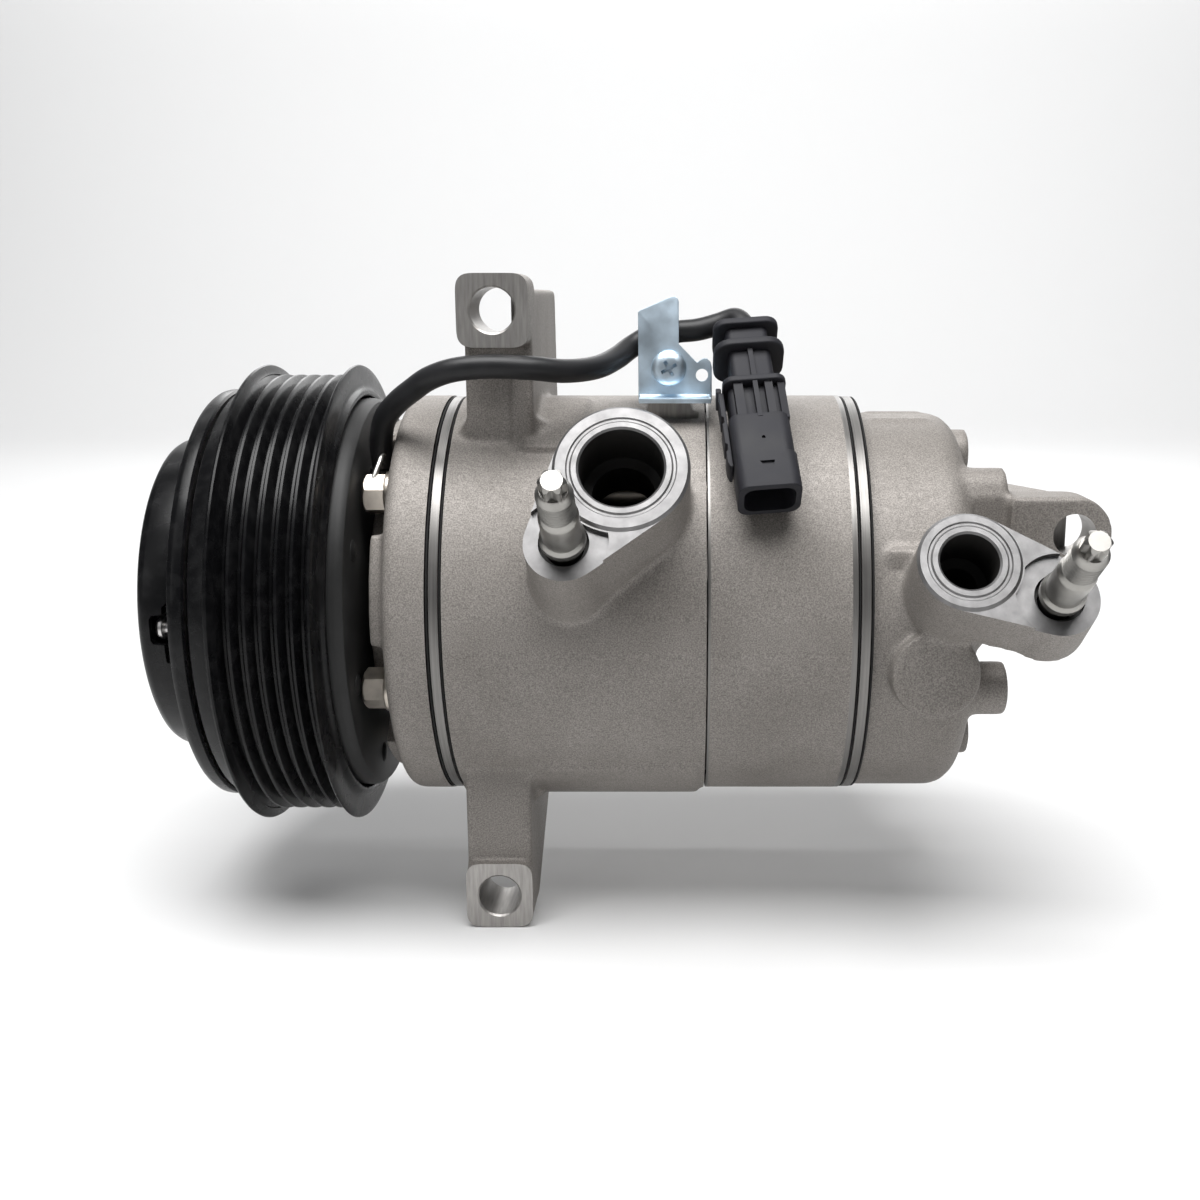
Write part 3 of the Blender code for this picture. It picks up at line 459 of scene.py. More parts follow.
def arc(centre, radius, start, end, steps):
    """Points on an arc, angles in degrees."""
    points = []
    for step in range(steps + 1):
        angle = math.radians(start + (end - start) * step / steps)
        points.append((centre[0] + radius * math.cos(angle), centre[1] + radius * math.sin(angle)))
    return points


def rounded(left, right, low, high, radius, steps=6):
    """A rectangle with round corners."""
    return (
        arc((right - radius, low + radius), radius, -90, 0, steps)
        + arc((right - radius, high - radius), radius, 0, 90, steps)
        + arc((left + radius, high - radius), radius, 90, 180, steps)
        + arc((left + radius, low + radius), radius, 180, 270, steps)
    )


def polygon(across, sides):
    """Corners of a regular polygon with this distance across its flats."""
    radius = across / 2 / math.cos(math.pi / sides)
    angles = [2 * math.pi * k / sides for k in range(sides)]
    return [(radius * math.cos(angle), radius * math.sin(angle)) for angle in angles]


def turn_of(first, second, third):
    return (second[0] - first[0]) * (third[1] - first[1]) - (second[1] - first[1]) * (third[0] - first[0])


def hull(circles, steps=64):
    """The outline of a band stretched round circles given as (a, b, radius)."""
    points = sorted(
        (a + r * math.cos(2 * math.pi * k / steps), b + r * math.sin(2 * math.pi * k / steps))
        for a, b, r in circles for k in range(steps)
    )
    outline = []
    for run in (points, points[::-1]):
        side = []
        for point in run:
            while len(side) > 1 and turn_of(side[-2], side[-1], point) <= 1e-9:
                side.pop()
            side.append(point)
        outline += side[:-1]
    return outline


def helper_object(bm, finish=0):
    mesh = bpy.data.meshes.new("helper")
    for face in bm.faces:
        face.material_index = finish
    bm.to_mesh(mesh)
    bm.free()
    for material in FINISHES:
        mesh.materials.append(material)
    helper = bpy.data.objects.new("helper", mesh)
    bpy.context.scene.collection.objects.link(helper)
    return helper


def settle(helper):
    """Applies a helper's modifiers to its mesh."""
    bpy.context.view_layer.update()
    graph = bpy.context.evaluated_depsgraph_get()
    mesh = bpy.data.meshes.new_from_object(helper.evaluated_get(graph))
    old = helper.data
    helper.modifiers.clear()
    helper.data = mesh
    bpy.data.meshes.remove(old)


def discard(helper):
    mesh = helper.data
    bpy.data.objects.remove(helper, do_unlink=True)
    bpy.data.meshes.remove(mesh)


def taken(helper):
    """The helper's shape, with the helper itself removed."""
    shape = bmesh.new()
    shape.from_mesh(helper.data)
    discard(helper)
    return shape


def combine(helper, shapes, finish, operation="DIFFERENCE"):
    """Cuts shapes that don't touch one another from a helper, leaving this finish on the new faces."""
    tool = helper_object(merged(shapes), finish)
    modifier = helper.modifiers.new("combine", "BOOLEAN")
    modifier.operation = operation
    modifier.solver = "MANIFOLD"
    modifier.object = tool
    settle(helper)
    discard(tool)


def melted(shapes, smoothing=12, voxel=VOXEL):
    """Overlapping closed shapes melted into one skin with rounded edges and cast fillets."""
    helper = helper_object(merged(shapes))
    remesh = helper.modifiers.new("melt", "REMESH")
    remesh.mode = "VOXEL"
    remesh.voxel_size = voxel * MM
    smooth = helper.modifiers.new("smooth", "SMOOTH")
    smooth.factor = 0.5
    smooth.iterations = smoothing
    settle(helper)
    return helper


def coat(helper, material):
    """Gives the whole helper one material."""
    helper.data.materials.clear()
    helper.data.materials.append(material)


def finish_piece(piece, name, body, replaces, sharp=SHARP):
    piece.name = name
    piece.data.name = name
    piece.data.shade_smooth()
    piece.data.set_sharp_from_angle(angle=sharp)
    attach(piece, body)
    if replaces:
        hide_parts(*replaces)
    return piece


def make(name, bm, material, body="casing", replaces=(), sharp=SHARP):
    """A visible piece from one mesh and one material."""
    outward(bm)
    mesh = bpy.data.meshes.new(name)
    bm.to_mesh(mesh)
    bm.free()
    mesh.materials.append(material)
    piece = bpy.data.objects.new(name, mesh)
    bpy.context.scene.collection.objects.link(piece)
    return finish_piece(piece, name, body, replaces, sharp)


def paint(piece, material, test):
    """Gives another material to the faces whose centre (mm) and normal pass a test."""
    mesh = piece.data
    if material.name not in [m.name for m in mesh.materials if m]:
        mesh.materials.append(material)
    index = [m.name for m in mesh.materials].index(material.name)
    for face in mesh.polygons:
        if test(face.center / MM, face.normal):
            face.material_index = index


def from_axis(point):
    return math.hypot(point.y, point.z)

# ---------------------------------------------------------------- castings


def bolt_holes(start, end):
    return [
        pointing(cylinder(0.0, end - start, 3.3, TINY), around(BOLT_PITCH, a, start), (1, 0, 0))
        for a in BOLT_ANGLES
    ]


def bores(start, end):
    """Cylinder bores, with a little more room than in the CAD because the facets are finer."""
    return [
        pointing(
            cylinder(0.0, end - start, BORE_RADIUS, MIDDLE), around(CYLINDER_PITCH, angle, start), (1, 0, 0)
        )
        for angle in CYLINDER_ANGLES
    ]


def ring_tool(start, end, inner, outer, steps=LARGE):
    return turned([(start, inner), (start, outer), (end, outer), (end, inner)], steps)


def ear_shapes(centre, up):
    """The rough casting of an ear: arm, pad and the web behind them."""
    x, z = centre
    tip = abs(z) + 8.2
    mirror = Matrix.Diagonal((1, up, 1, 1))
    arm = rounded(x - 8.0, x + 8.0, 33.0, tip - 0.4, 2.5)
    pad = rounded(x - 8.2, x + 8.2, tip - 16.6, tip, 3.0)
    arm_face = UPPER_ARM_FACE_Y if up > 0 else LOWER_ARM_FACE_Y
    web_top, web_depth = (tip - 3.4, 34.0) if up > 0 else (tip - 1.0, -20.0)
    web = [
        (-30.0, 34.0), (-30.0, tip - 4.0), (-24.0, web_top), (web_depth, web_top), (38.0, 45.0), (34.0, 34.0)
    ]
    root = rounded(x - 9.6, x + 11.4, 40.0, 47.5, 3.0)
    return [
        prism(arm, -EAR_BACK_Y, -arm_face, facing_minus_y() @ mirror),
        prism(web, x + 2.8, x + 8.1, side_view() @ mirror),
        prism(pad, -EAR_BACK_Y - 0.3, -EAR_FACE_Y + 1.6, facing_minus_y() @ mirror),
        prism(root, 14.0, 27.0, facing_minus_y() @ mirror),
    ]


def boss_shapes(port, depth, lobe_depth):
    """The rough casting of a port boss, left tall for the machining."""
    radius = port["ring"] - 0.1
    top = port["face"] + 1.6
    outline = hull([(port["x"], port["rise"], radius), (*port["stud"], 8.8)])
    draft = turned([(lobe_depth, 0.0), (lobe_depth, 9.7), (top, 8.6), (top, 0.0)], MIDDLE)
    return [
        prism(outline, lobe_depth, top, port_frame()),
        in_port(cylinder(depth, top, radius, LARGE), port["x"], port["rise"]),
        in_port(draft, *port["stud"]),
    ]


def machine_port(helper, port, inner):
    """Faces a port: a raised ring round the bore, a lower flat and a spot face for the stud."""
    face, ring, bore = port["face"], port["ring"], port["bore"]
    x, rise = port["x"], port["rise"]
    top = face + 5.0
    facing = [
        (face, 0.0), (face, bore + 1.9), (face - 0.35, bore + 2.3), (face - 0.35, bore + 2.8),
        (face, bore + 3.1),
        (face, ring - 0.8), (face - 0.7, ring - 0.1), (face - 0.7, 36.0), (top, 36.0), (top, 0.0),
    ]
    combine(helper, [in_port(turned(facing), x, rise)], 3)
    spot = helper_object(
        in_port(turned([(face - 2.0, 0.0), (face - 2.0, 9.7), (top, 9.7), (top, 0.0)]), *port["stud"]), 3
    )
    combine(spot, [in_port(cylinder(face - 6.0, top + 1.0, ring + 0.25, LARGE), x, rise)], 3)
    shape = taken(spot)
    combine(helper, [shape], 3)
    throat = [
        (inner, 0.0), (inner, bore - 1.8), (face - 15.0, bore - 1.8), (face - 14.0, bore + 0.3),
        (face + 1.0, bore + 0.3), (face + 1.0, 0.0),
    ]
    lip = [
        (face - 0.5, 0.0), (face - 0.5, bore + 0.2), (face + 0.1, bore + 0.9), (face + 1.0, bore + 0.9),
        (face + 1.0, 0.0)
    ]
    hole = [
        (face - 13.0, 0.0), (face - 13.0, 4.3), (face - 4.6, 4.3), (face - 4.6, 5.5), (top, 5.5), (top, 0.0)
    ]
    # The throat and the stud hole take finish 4, a near-black painted shade for the dark inside them.
    combine(helper, [in_port(turned(throat), x, rise), in_port(turned(hole, MIDDLE), *port["stud"])], 4)
    combine(helper, [in_port(turned(lip), x, rise)], 3)


def bore_ear(helper, centre, face, back):
    """Mills an ear's front face and drills it, with a small chamfer."""
    x, z = centre
    mill = prism(rounded(x - 13.0, x + 13.0, z - 9.6, z + 12.0, 2.0), -face, -face + 6.0, facing_minus_y())
    combine(helper, [mill], 2)
    drill = [
        (-1.0, 0.0), (-1.0, 5.1), (back - face - 0.4, 5.1), (back - face + 0.2, 5.7), (back - face + 2.0, 5.7)
    ]
    drill.append((back - face + 2.0, 0.0))
    combine(helper, [pointing(turned(drill, MIDDLE), (x, back, z), (0, -1, 0))], 2)


def front_housing():
    outer = turned([
        (22.0, 0.0), (22.0, 18.2), (51.0, 18.2), (52.0, 24.0), (54.0, 32.5), (60.0, 32.5), (60.0, 47.4),
        (60.6, 50.0), (62.4, 51.0), (72.4, 51.0), (72.4, 0.0),
    ])
    shapes = [outer]
    for angle in CYLINDER_ANGLES:
        middle = math.degrees(angle)
        outline = arc((0, 0), 45.2, middle - 17, middle + 17, 24) + arc(
            (0, 0), 31.0, middle + 17, middle - 17, 12
        )
        shapes.append(prism(outline, 56.4, 61.0, side_view()))
    helper = melted(shapes)
    combine(helper, [ring_tool(20.0, 52.3, 17.4, 30.0), ring_tool(HEAD_JOINT_X, 76.0, 0.0, 60.0)], 1)
    combine(helper, [ring_tool(19.0, 24.0, 0.0, 20.0), ring_tool(64.0, 75.0, 20.0, 35.5)], 1)
    combine(
        helper, [turned([(20.0, 0.0), (20.0, 12.3), (57.0, 12.3), (57.0, 9.5), (75.0, 9.5), (75.0, 0.0)])], 1
    )
    seats = [
        pointing(cylinder(0.0, 6.0, 6.6, MIDDLE), around(BOLT_PITCH, a, 53.7), (1, 0, 0)) for a in BOLT_ANGLES
    ]
    combine(helper, seats, 2)
    combine(helper, bolt_holes(57.0, 72.0), 1)
    finish_piece(helper, "visual_front_housing", "casing", ["front_housing"])


def front_block():
    start, end = BLOCK_START_X, MID_JOINT_X
    shapes = [cylinder(start - 1.6, end + 1.6, BODY_RADIUS, LARGE)]
    shapes += ear_shapes(UPPER_EAR, 1) + ear_shapes(LOWER_EAR, -1)
    shapes += boss_shapes(SUCTION, 40.0, 40.0)
    shapes.append(prism(rounded(121.0, 131.0, 42.0, 62.6, 3.0), 6.0, 18.0, facing_minus_y()))
    raised = arc((0, 0), 52.4, 100, 128.2, 24) + arc((0, 0), 46.0, 128.2, 100, 12)
    ridge = arc((0, 0), 52.3, 223.8, 275, 36) + arc((0, 0), 46.0, 275, 223.8, 18)
    shapes += [prism(raised, 91.3, 106.0, side_view()), prism(ridge, 93.5, 133.0, side_view())]
    helper = melted(shapes)
    combine(helper, [ring_tool(start - 5.0, start, 0.0, 60.0), ring_tool(end, end + 5.0, 0.0, 60.0)], 2)
    bore_ear(helper, UPPER_EAR, EAR_FACE_Y, EAR_BACK_Y)
    bore_ear(helper, LOWER_EAR, EAR_FACE_Y, EAR_BACK_Y)
    machine_port(helper, SUCTION, 38.0)
    combine(helper, [prism(rounded(119.0, 133.0, 44.0, 66.0, 1.0), 16.5, 20.0, facing_minus_y())], 2)
    combine(helper, [pointing(cylinder(0.0, 12.0, 2.5, TINY), (125.8, -7.0, 58.9), (0, -1, 0))], 2)
    combine(helper, bores(start - 1.0, CHAMBER_START_X + 1.0), 1)
    combine(helper, bolt_holes(start - 1.0, CHAMBER_START_X + 1.0), 1)
    middle = [
        (start - 1.0, 0.0), (start - 1.0, 11.8), (92.5, 11.8), (92.5, 8.6), (CHAMBER_START_X, 8.6),
        (CHAMBER_START_X, CHAMBER_RADIUS), (end + 1.0, CHAMBER_RADIUS), (end + 1.0, 0.0),
    ]
    combine(helper, [turned(middle)], 1)
    finish_piece(helper, "visual_front_cylinder_block", "casing", ["front_cylinder_block"])


def rear_block():
    start, end = MID_JOINT_X + 0.4, BLOCK_END_X
    helper = melted([cylinder(start - 1.6, end + 1.6, BODY_RADIUS, LARGE)])
    combine(helper, [ring_tool(start - 5.0, start, 0.0, 60.0), ring_tool(end, end + 5.0, 0.0, 60.0)], 2)
    combine(helper, bores(CHAMBER_END_X - 1.0, end + 1.0), 1)
    combine(helper, bolt_holes(CHAMBER_END_X - 1.0, end + 1.0), 1)
    middle = [
        (start - 1.0, 0.0), (start - 1.0, CHAMBER_RADIUS), (CHAMBER_END_X, CHAMBER_RADIUS),
        (CHAMBER_END_X, 8.6),
        (149.7, 8.6), (149.7, 11.8), (end + 1.0, 11.8), (end + 1.0, 0.0),
    ]
    combine(helper, [turned(middle), ring_tool(start - 1.0, start + 2.6, 46.6, 49.4)], 1)
    piece = finish_piece(
        helper, "visual_rear_cylinder_block", "casing", ["rear_cylinder_block"]
    )
    paint(piece, BAND, lambda c, n: (c.x < start + 0.7 or c.x > end - 1.0) and 50.3 < from_axis(c) < 51.3)


def rear_head():
    start, end, radius, drop = REAR_HEAD_X, REAR_FACE_X, 48.4, -1.9
    body = turned([
        (start - 1.6, 0.0), (start - 1.6, radius), (end - 6.0, radius), (end - 3.4, radius - 0.8),
        (end - 1.2, radius - 2.8), (end, radius - 6.5), (end, 0.0),
    ])
    body.transform(Matrix.Translation((0.0, 0.0, drop * MM)))
    arm = hull([(*REAR_EAR, 9.0), (186.0, 25.5, 4.5), (186.0, -2.0, 4.0), (209.0, 4.0, 8.0)])
    pad = hull([(*REAR_EAR, 9.0), (207.3, 28.5, 1.5), (207.3, 10.0, 1.5)])
    web = helper_object(
        prism(hull([(*REAR_EAR, 8.0), (186.0, 24.5, 4.5), (186.0, 16.0, 4.0)]), -6.0, 25.4, facing_minus_y())
    )
    slope = [
        (223.0, -24.4), (240.0, -24.4), (240.0, 12.0), (209.0, 12.0), (210.5, 4.0), (214.0, -4.0), (219.0, -14.0),
    ]
    combine(web, [prism(slope, 0.0, 40.0)], 0)
    sloped = taken(web)
    shapes = [
        body, sloped,
        prism(arm, -REAR_EAR_BACK_Y, 33.4, facing_minus_y()),
        prism(pad, -REAR_EAR_BACK_Y - 0.3, -REAR_EAR_FACE_Y, facing_minus_y()),
        pointing(cylinder(0.0, 22.0, 10.3, MIDDLE), (187.0, -30.0, -9.0), (0, -1, 0)),
        prism(rounded(176.0, 194.0, 15.0, 19.5, 1.5), 20.0, 45.6, facing_minus_y()),
    ]
    shapes += boss_shapes(DISCHARGE, 29.0, 46.0)
    for angle in BOLT_ANGLES:
        shapes.append(pointing(cylinder(0.0, 16.0, 6.4, MIDDLE), around(BOLT_PITCH, angle, 190.0), (1, 0, 0)))
    for degrees in (75.0, 88.0, 101.0):
        rib = cylinder(176.0, 190.0, 3.2, TINY)
        shapes.append(
            pointing(rib, Vector((0.0, 0.0, drop)) + around(45.8, math.radians(degrees)), (1, 0, 0))
        )
    helper = melted(shapes)
    combine(helper, [ring_tool(start - 5.0, start, 0.0, 60.0)], 2)
    drill = pointing(cylinder(0.0, 16.0, 5.1, MIDDLE), (221.0, -23.0, 21.0), (0, -1, 0))
    combine(helper, [drill], 2)
    machine_port(helper, DISCHARGE, 25.0)
    chambers = [
        turned([(start - 1, 20.0), (start - 1, 35.0), (190.0, 35.0), (190.0, 20.0)]),
        cylinder(start - 1, 183.0, 16.0, MIDDLE),
    ]
    combine(helper, chambers, 1)
    combine(helper, bolt_holes(start - 1.0, 196.5), 1)
    combine(helper, [pointing(cylinder(186.0, end + 1, 4.4, TINY), RELIEF_VALVE, (1, 0, 0))], 1)
    finish_piece(helper, "visual_rear_head", "casing", ["rear_head"])


front_housing()
front_block()
rear_block()
rear_head()

# ---------------------------------------------------------------- clutch


def pulley():
    pitch, floor, tip = 3.56, 53.5, 56.3
    profile = [
        (17.0, 31.0), (17.0, 51.5), (17.3, 52.2), (17.9, 52.6), (20.9, 52.8), (21.7, 53.1),
        (22.1, 53.9), (22.4, 56.6),
        (22.6, 57.9), (22.9, 58.6), (23.3, 58.8), (23.7, 58.6), (24.0, 57.9), (24.3, 57.0), (24.6, 56.5),
    ]
    for rib in range(6):
        middle = 34.7 + (rib - 2.5) * pitch
        for across, height in ((-1.5, 0.0), (-1.34, -0.16), (-0.5, -2.45), (-0.28, -2.8)):
            profile.append((middle + across, tip + height))
        for across, height in ((0.28, floor - tip), (0.5, -2.45), (1.34, -0.16), (1.5, 0.0)):
            profile.append((middle + across, tip + height))
    profile += [
        (45.3, 56.6), (45.5, 57.6), (45.7, 58.4), (46.1, 58.8), (46.5, 58.6), (46.8, 57.8),
        (46.9, 56.6), (47.0, 54.4),
        (47.2, 53.4), (47.7, 52.8), (48.2, 52.4), (48.4, 51.9), (48.4, 51.4), (48.1, 51.0),
        (26.5, 51.0), (26.5, 29.8),
        (48.2, 29.8), (48.2, 26.1), (24.9, 26.1), (24.9, 24.5), (21.0, 24.5), (21.0, 31.0),
    ]
    make("visual_pulley", turned(profile), BLACK, "pulley", ["pulley"])


def hub_cup():
    cup = [
        (1.1, 33.8), (0.7, 34.2), (0.4, 34.9), (0.4, 37.4), (0.6, 38.3), (1.1, 39.1), (1.9, 39.6),
        (2.8, 39.9),
        (11.6, 39.9), (12.0, 39.6), (12.0, 33.8),
    ]
    helper = helper_object(turned(cup))
    windows = []
    for angle in RIVET_ANGLES:
        out = Vector((0, math.cos(angle), math.sin(angle)))
        along = Vector((0, -math.sin(angle), math.cos(angle)))
        outline = [
            (-8.4, 14.0), (-8.4, 9.6), (-5.4, 6.8), (-3.7, 6.8), (-3.5, 4.3), (-2.6, 3.7), (2.6, 3.7),
            (3.5, 4.3),
            (3.7, 6.8), (8.0, 6.8), (8.4, 7.2), (8.4, 14.0),
        ]
        windows.append(prism(outline, 34.6, 45.0, axes(along, (1, 0, 0), out)))
    combine(helper, windows, 0)
    coat(helper, BLACK)
    finish_piece(helper, "visual_hub_cup", "armature", ["hub_cup"])


def armature_plate():
    start, end = 12.25, 16.45
    disc = [
        (start, 30.0), (start, 51.2), (start + 0.3, 51.9), (start + 1.0, 52.4), (start + 1.8, 52.6),
        (end - 0.5, 52.6),
        (end, 52.1), (end, 30.0),
    ]
    helper = helper_object(turned(disc))
    holes = [
        pointing(cylinder(0, 8, 1.9, TINY), around(37.0, angle, start - 1), (1, 0, 0))
        for angle in RIVET_ANGLES
    ]
    slots = []
    for angle in RIVET_ANGLES:
        middle = math.degrees(angle) + 60.0
        outline = arc((0, 0), 45.6, middle - 24, middle + 24, 24) + arc(
            (0, 0), 43.4, middle + 24, middle - 24, 24
        )
        slots.append(prism(outline, start - 1, end + 1, side_view()))
    combine(helper, holes + slots, 0)
    coat(helper, BLACK)
    piece = finish_piece(helper, "visual_armature_plate", "armature", ["armature_plate"])
    paint(piece, STEEL, lambda c, n: c.x > end - 0.05)
    for number, angle in enumerate(RIVET_ANGLES, 1):
        dome = [
            (4.4, 0.0), (4.5, 1.2), (4.9, 2.1), (5.6, 2.7), (6.4, 2.8), (6.6, 2.6), (6.6, 1.6),
            (16.25, 1.6), (16.25, 0.0)
        ]
        rivet = pointing(turned(dome, MIDDLE), around(37.0, angle), (1, 0, 0))
        name = f"armature_rivet_{number}"
        make(f"visual_{name}", rivet, STEEL, "armature", [name])


def hub():
    boss = [
        (3.9, 7.1), (3.9, 15.5), (4.3, 16.2), (5.4, 17.0), (5.8, 18.0), (5.8, 20.5), (5.4, 21.6), (4.3, 22.4),
        (3.9, 23.4), (3.9, 24.6), (4.3, 25.0), (8.1, 25.0), (8.5, 24.6), (8.5, 13.0), (22.0, 12.4),
        (22.0, 7.1),
    ]
    make("visual_clutch_hub", turned(boss), BLACK, "shaft", ["clutch_hub"])
    damper = [
        (3.6, 25.3), (3.2, 25.8), (2.7, 27.4), (2.6, 29.4), (2.7, 31.4), (3.2, 33.0), (3.6, 33.5),
        (9.4, 33.5),
        (10.2, 31.4), (10.4, 29.4), (10.2, 27.4), (9.4, 25.3),
    ]
    make("visual_hub_damper", turned(damper), RUBBER, "shaft", ["hub_rubber_damper"])
    screw = turned([
        (2.6, 0.0), (2.6, 7.9), (2.8, 8.3), (3.1, 8.4), (3.6, 8.4), (3.6, 2.9), (21.0, 2.9),
        (22.0, 2.0), (22.0, 0.0),
    ], MIDDLE)
    helper = helper_object(softened(prism(polygon(11.4, 6), 0.0, 3.0, side_view()), 0.35))
    combine(helper, [screw], 0, "UNION")
    combine(helper, [cylinder(-1.0, 1.2, 3.4, MIDDLE)], 0)
    coat(helper, STEEL)
    finish_piece(helper, "visual_hub_bolt", "shaft", ["hub_bolt"])


def coil():
    shell = [
        (29.0, 47.6), (29.0, 50.0), (29.3, 50.3), (49.6, 50.3), (50.8, 50.0), (51.6, 49.4),
        (52.0, 48.4), (52.0, 18.0),
        (49.8, 18.0), (49.8, 30.5), (29.0, 30.5), (29.0, 33.2), (49.6, 33.2), (49.6, 47.6),
    ]
    make("visual_coil_shell", turned(shell), COIL_BLACK, "casing", ["field_coil_shell"])
    for number, degrees in enumerate((20.0, 65.0, 155.0, 200.0, 250.0, 310.0), 1):
        dimple = turned([(51.8, 0.0), (51.8, 2.6), (52.1, 2.5), (52.5, 1.7), (52.6, 0.0)], TINY)
        bump_piece = pointing(dimple, around(42.0, math.radians(degrees)), (1, 0, 0))
        make(f"coil_clinch_{number}", bump_piece, COIL_BLACK)


pulley()
hub_cup()
armature_plate()
hub()
coil()

# ---------------------------------------------------------------- gaskets and plates


def plate(name, start, end, inner, outer, material, holes=True):
    edge = 0.12
    profile = [
        (start, inner), (start, outer - edge), (start + edge, outer), (end - edge, outer), (end, outer - edge)
    ]
    profile.append((end, inner))
    helper = helper_object(turned(profile))
    if holes:
        combine(helper, bolt_holes(start - 1.0, end + 1.0), 0)
    coat(helper, material)
    finish_piece(helper, f"visual_{name}", "casing", [name])


plate("front_head_gasket", 70.6, 71.1, 43.2, 50.7, GASKET, holes=False)
plate("front_valve_plate", 71.3, 73.5, 9.5, 50.8, BAND)
plate("front_reed_plate", 73.7, 74.1, 9.5, 50.8, GASKET)
plate("rear_reed_plate", 169.1, 169.5, 4.0, 50.8, GASKET)
plate("rear_valve_plate", 169.7, 171.9, 4.0, 50.8, BAND)
plate("rear_head_gasket", 172.1, 172.6, 43.2, 50.7, GASKET, holes=False)

# ---------------------------------------------------------------- bolts, studs, screw and valve


def through_bolt(number, angle):
    shank = turned([
        (58.0, 0.0), (58.0, 4.4), (58.4, 5.4), (58.9, 5.6), (59.7, 5.6), (59.7, 3.0), (195.0, 3.0),
        (196.0, 2.2), (196.0, 0.0),
    ], MIDDLE)
    shank.transform(Matrix.Translation(around(BOLT_PITCH, angle) * MM))
    head = prism(polygon(8.6, 6), 53.0, 59.0, side_view())
    head.transform(Matrix.Rotation(0.35 * number, 4, "X"))
    cap = helper_object(head)
    combine(cap, [turned([(52.0, 3.9), (53.0, 3.9), (54.1, 5.4), (54.1, 9.0), (52.0, 9.0)], MIDDLE)], 0)
    combine(cap, [pointing(cylinder(52.0, 53.5, 2.5, SMALL), (0, 0, 0), (1, 0, 0))], 0)
    cap.data.transform(Matrix.Translation(around(BOLT_PITCH, angle) * MM))
    combine(cap, [shank], 0, "UNION")
    coat(cap, BOLT)
    name = f"through_bolt_{number}"
    finish_piece(cap, f"visual_{name}", "casing", [name])


def thread(start, end, radius, pitch=1.25, depth=0.65):
    """Points of a threaded length, cut as close rings."""
    points = []
    for turn in range(int((end - start) / pitch)):
        at = start + turn * pitch
        points += [(at, radius - depth), (at + 0.5 * pitch, radius), (at + 0.62 * pitch, radius)]
    return points + [(end, radius - depth)]


def port_stud(name, port):
    """A plain shank over a collar, a rolled thread and a six-lobed driving point."""
    x, rise = port["stud"]
    base = port["face"] - 0.7
    profile = [
        (-11.5, 0.0), (-11.5, 3.6), (0.0, 3.6), (0.0, 4.6), (0.4, 5.0), (2.2, 5.0), (2.7, 4.7), (3.1, 4.3)
    ]
    profile += [(12.6, 4.3), (13.2, 4.2), (13.8, 3.75), (14.4, 3.3)]
    profile += thread(14.5, 23.4, 3.9) + [(24.4, 2.9), (24.8, 2.9), (24.8, 0.0)]
    helper = helper_object(turned(profile, MIDDLE))
    lobes = []
    for step in range(96):
        turn = 2 * math.pi * step / 96
        reach = 2.55 + 0.4 * math.cos(6 * turn)
        lobes.append((reach * math.cos(turn), reach * math.sin(turn)))
    point = helper_object(prism(lobes, 24.4, 29.0, side_view()))
    combine(
        point,
        [turned([(27.8, 3.2), (28.2, 2.9), (29.0, 2.2), (30.0, 2.0), (30.0, 4.0), (27.8, 4.0)], MIDDLE)], 0
    )
    shape = taken(point)
    combine(helper, [shape], 0, "UNION")
    turn = Matrix.Translation(Vector((x, rise, base)) * MM) @ axes((0, 0, 1), (1, 0, 0), (0, 1, 0))
    helper.data.transform(port_frame() @ turn)
    coat(helper, STUD)
    finish_piece(helper, f"visual_{name}", "casing", [name])


def relief_valve():
    face = REAR_FACE_X + 0.3
    helper = helper_object(turned([
        (188.0, 0.0), (188.0, 4.0), (face, 4.0), (face, 6.8), (face + 0.3, 7.0), (face + 1.2, 7.0),
        (face + 1.2, 4.6),
        (face + 10.6, 4.6), (face + 11.6, 3.9), (face + 12.0, 3.2), (face + 12.0, 1.6),
        (face + 9.0, 1.6), (face + 9.0, 0.0),
    ], MIDDLE))
    combine(helper, [softened(prism(polygon(12.0, 6), face + 0.9, face + 5.0, side_view()), 0.3)], 0, "UNION")
    helper.data.transform(Matrix.Translation(Vector(RELIEF_VALVE) * MM))
    coat(helper, BRASS)
    finish_piece(helper, "visual_relief_valve", "casing", ["pressure_relief_valve"])


def bracket():
    """A folded sheet with a pierced tab; its foot lies back along the casing."""
    outline = [
        (118.4, 50.8), (136.0, 50.8), (136.2, 51.2), (136.2, 59.2), (135.8, 60.4), (135.0, 61.2),
        (134.0, 61.2),
        (132.6, 60.2), (128.2, 64.6), (128.2, 74.6), (127.9, 75.4), (127.3, 75.8), (126.6, 75.9),
        (118.8, 72.5),
        (118.4, 72.1),
    ]
    helper = helper_object(softened(prism(outline, 16.8, 18.0, facing_minus_y()), 0.18, 2, 60.0))
    foot = [(17.4, 50.9), (25.0, 50.9), (25.0, 52.1), (18.7, 52.1), (18.3, 52.25), (18.0, 52.6), (17.4, 52.6)]
    strip = prism([(-y, z) for y, z in foot], 118.7, 135.9, side_view())
    combine(helper, [softened(strip, 0.15, 2, 60.0)], 0, "UNION")
    holes = [
        pointing(cylinder(0, 4, 2.6, MIDDLE), (125.8, -15.0, 58.9), (0, -1, 0)),
        pointing(cylinder(0, 4, 1.5, SMALL), (133.8, -15.0, 57.2), (0, -1, 0)),
    ]
    combine(helper, holes, 0)
    coat(helper, ZINC)
    finish_piece(helper, "visual_connector_bracket", "casing", ["connector_bracket"])


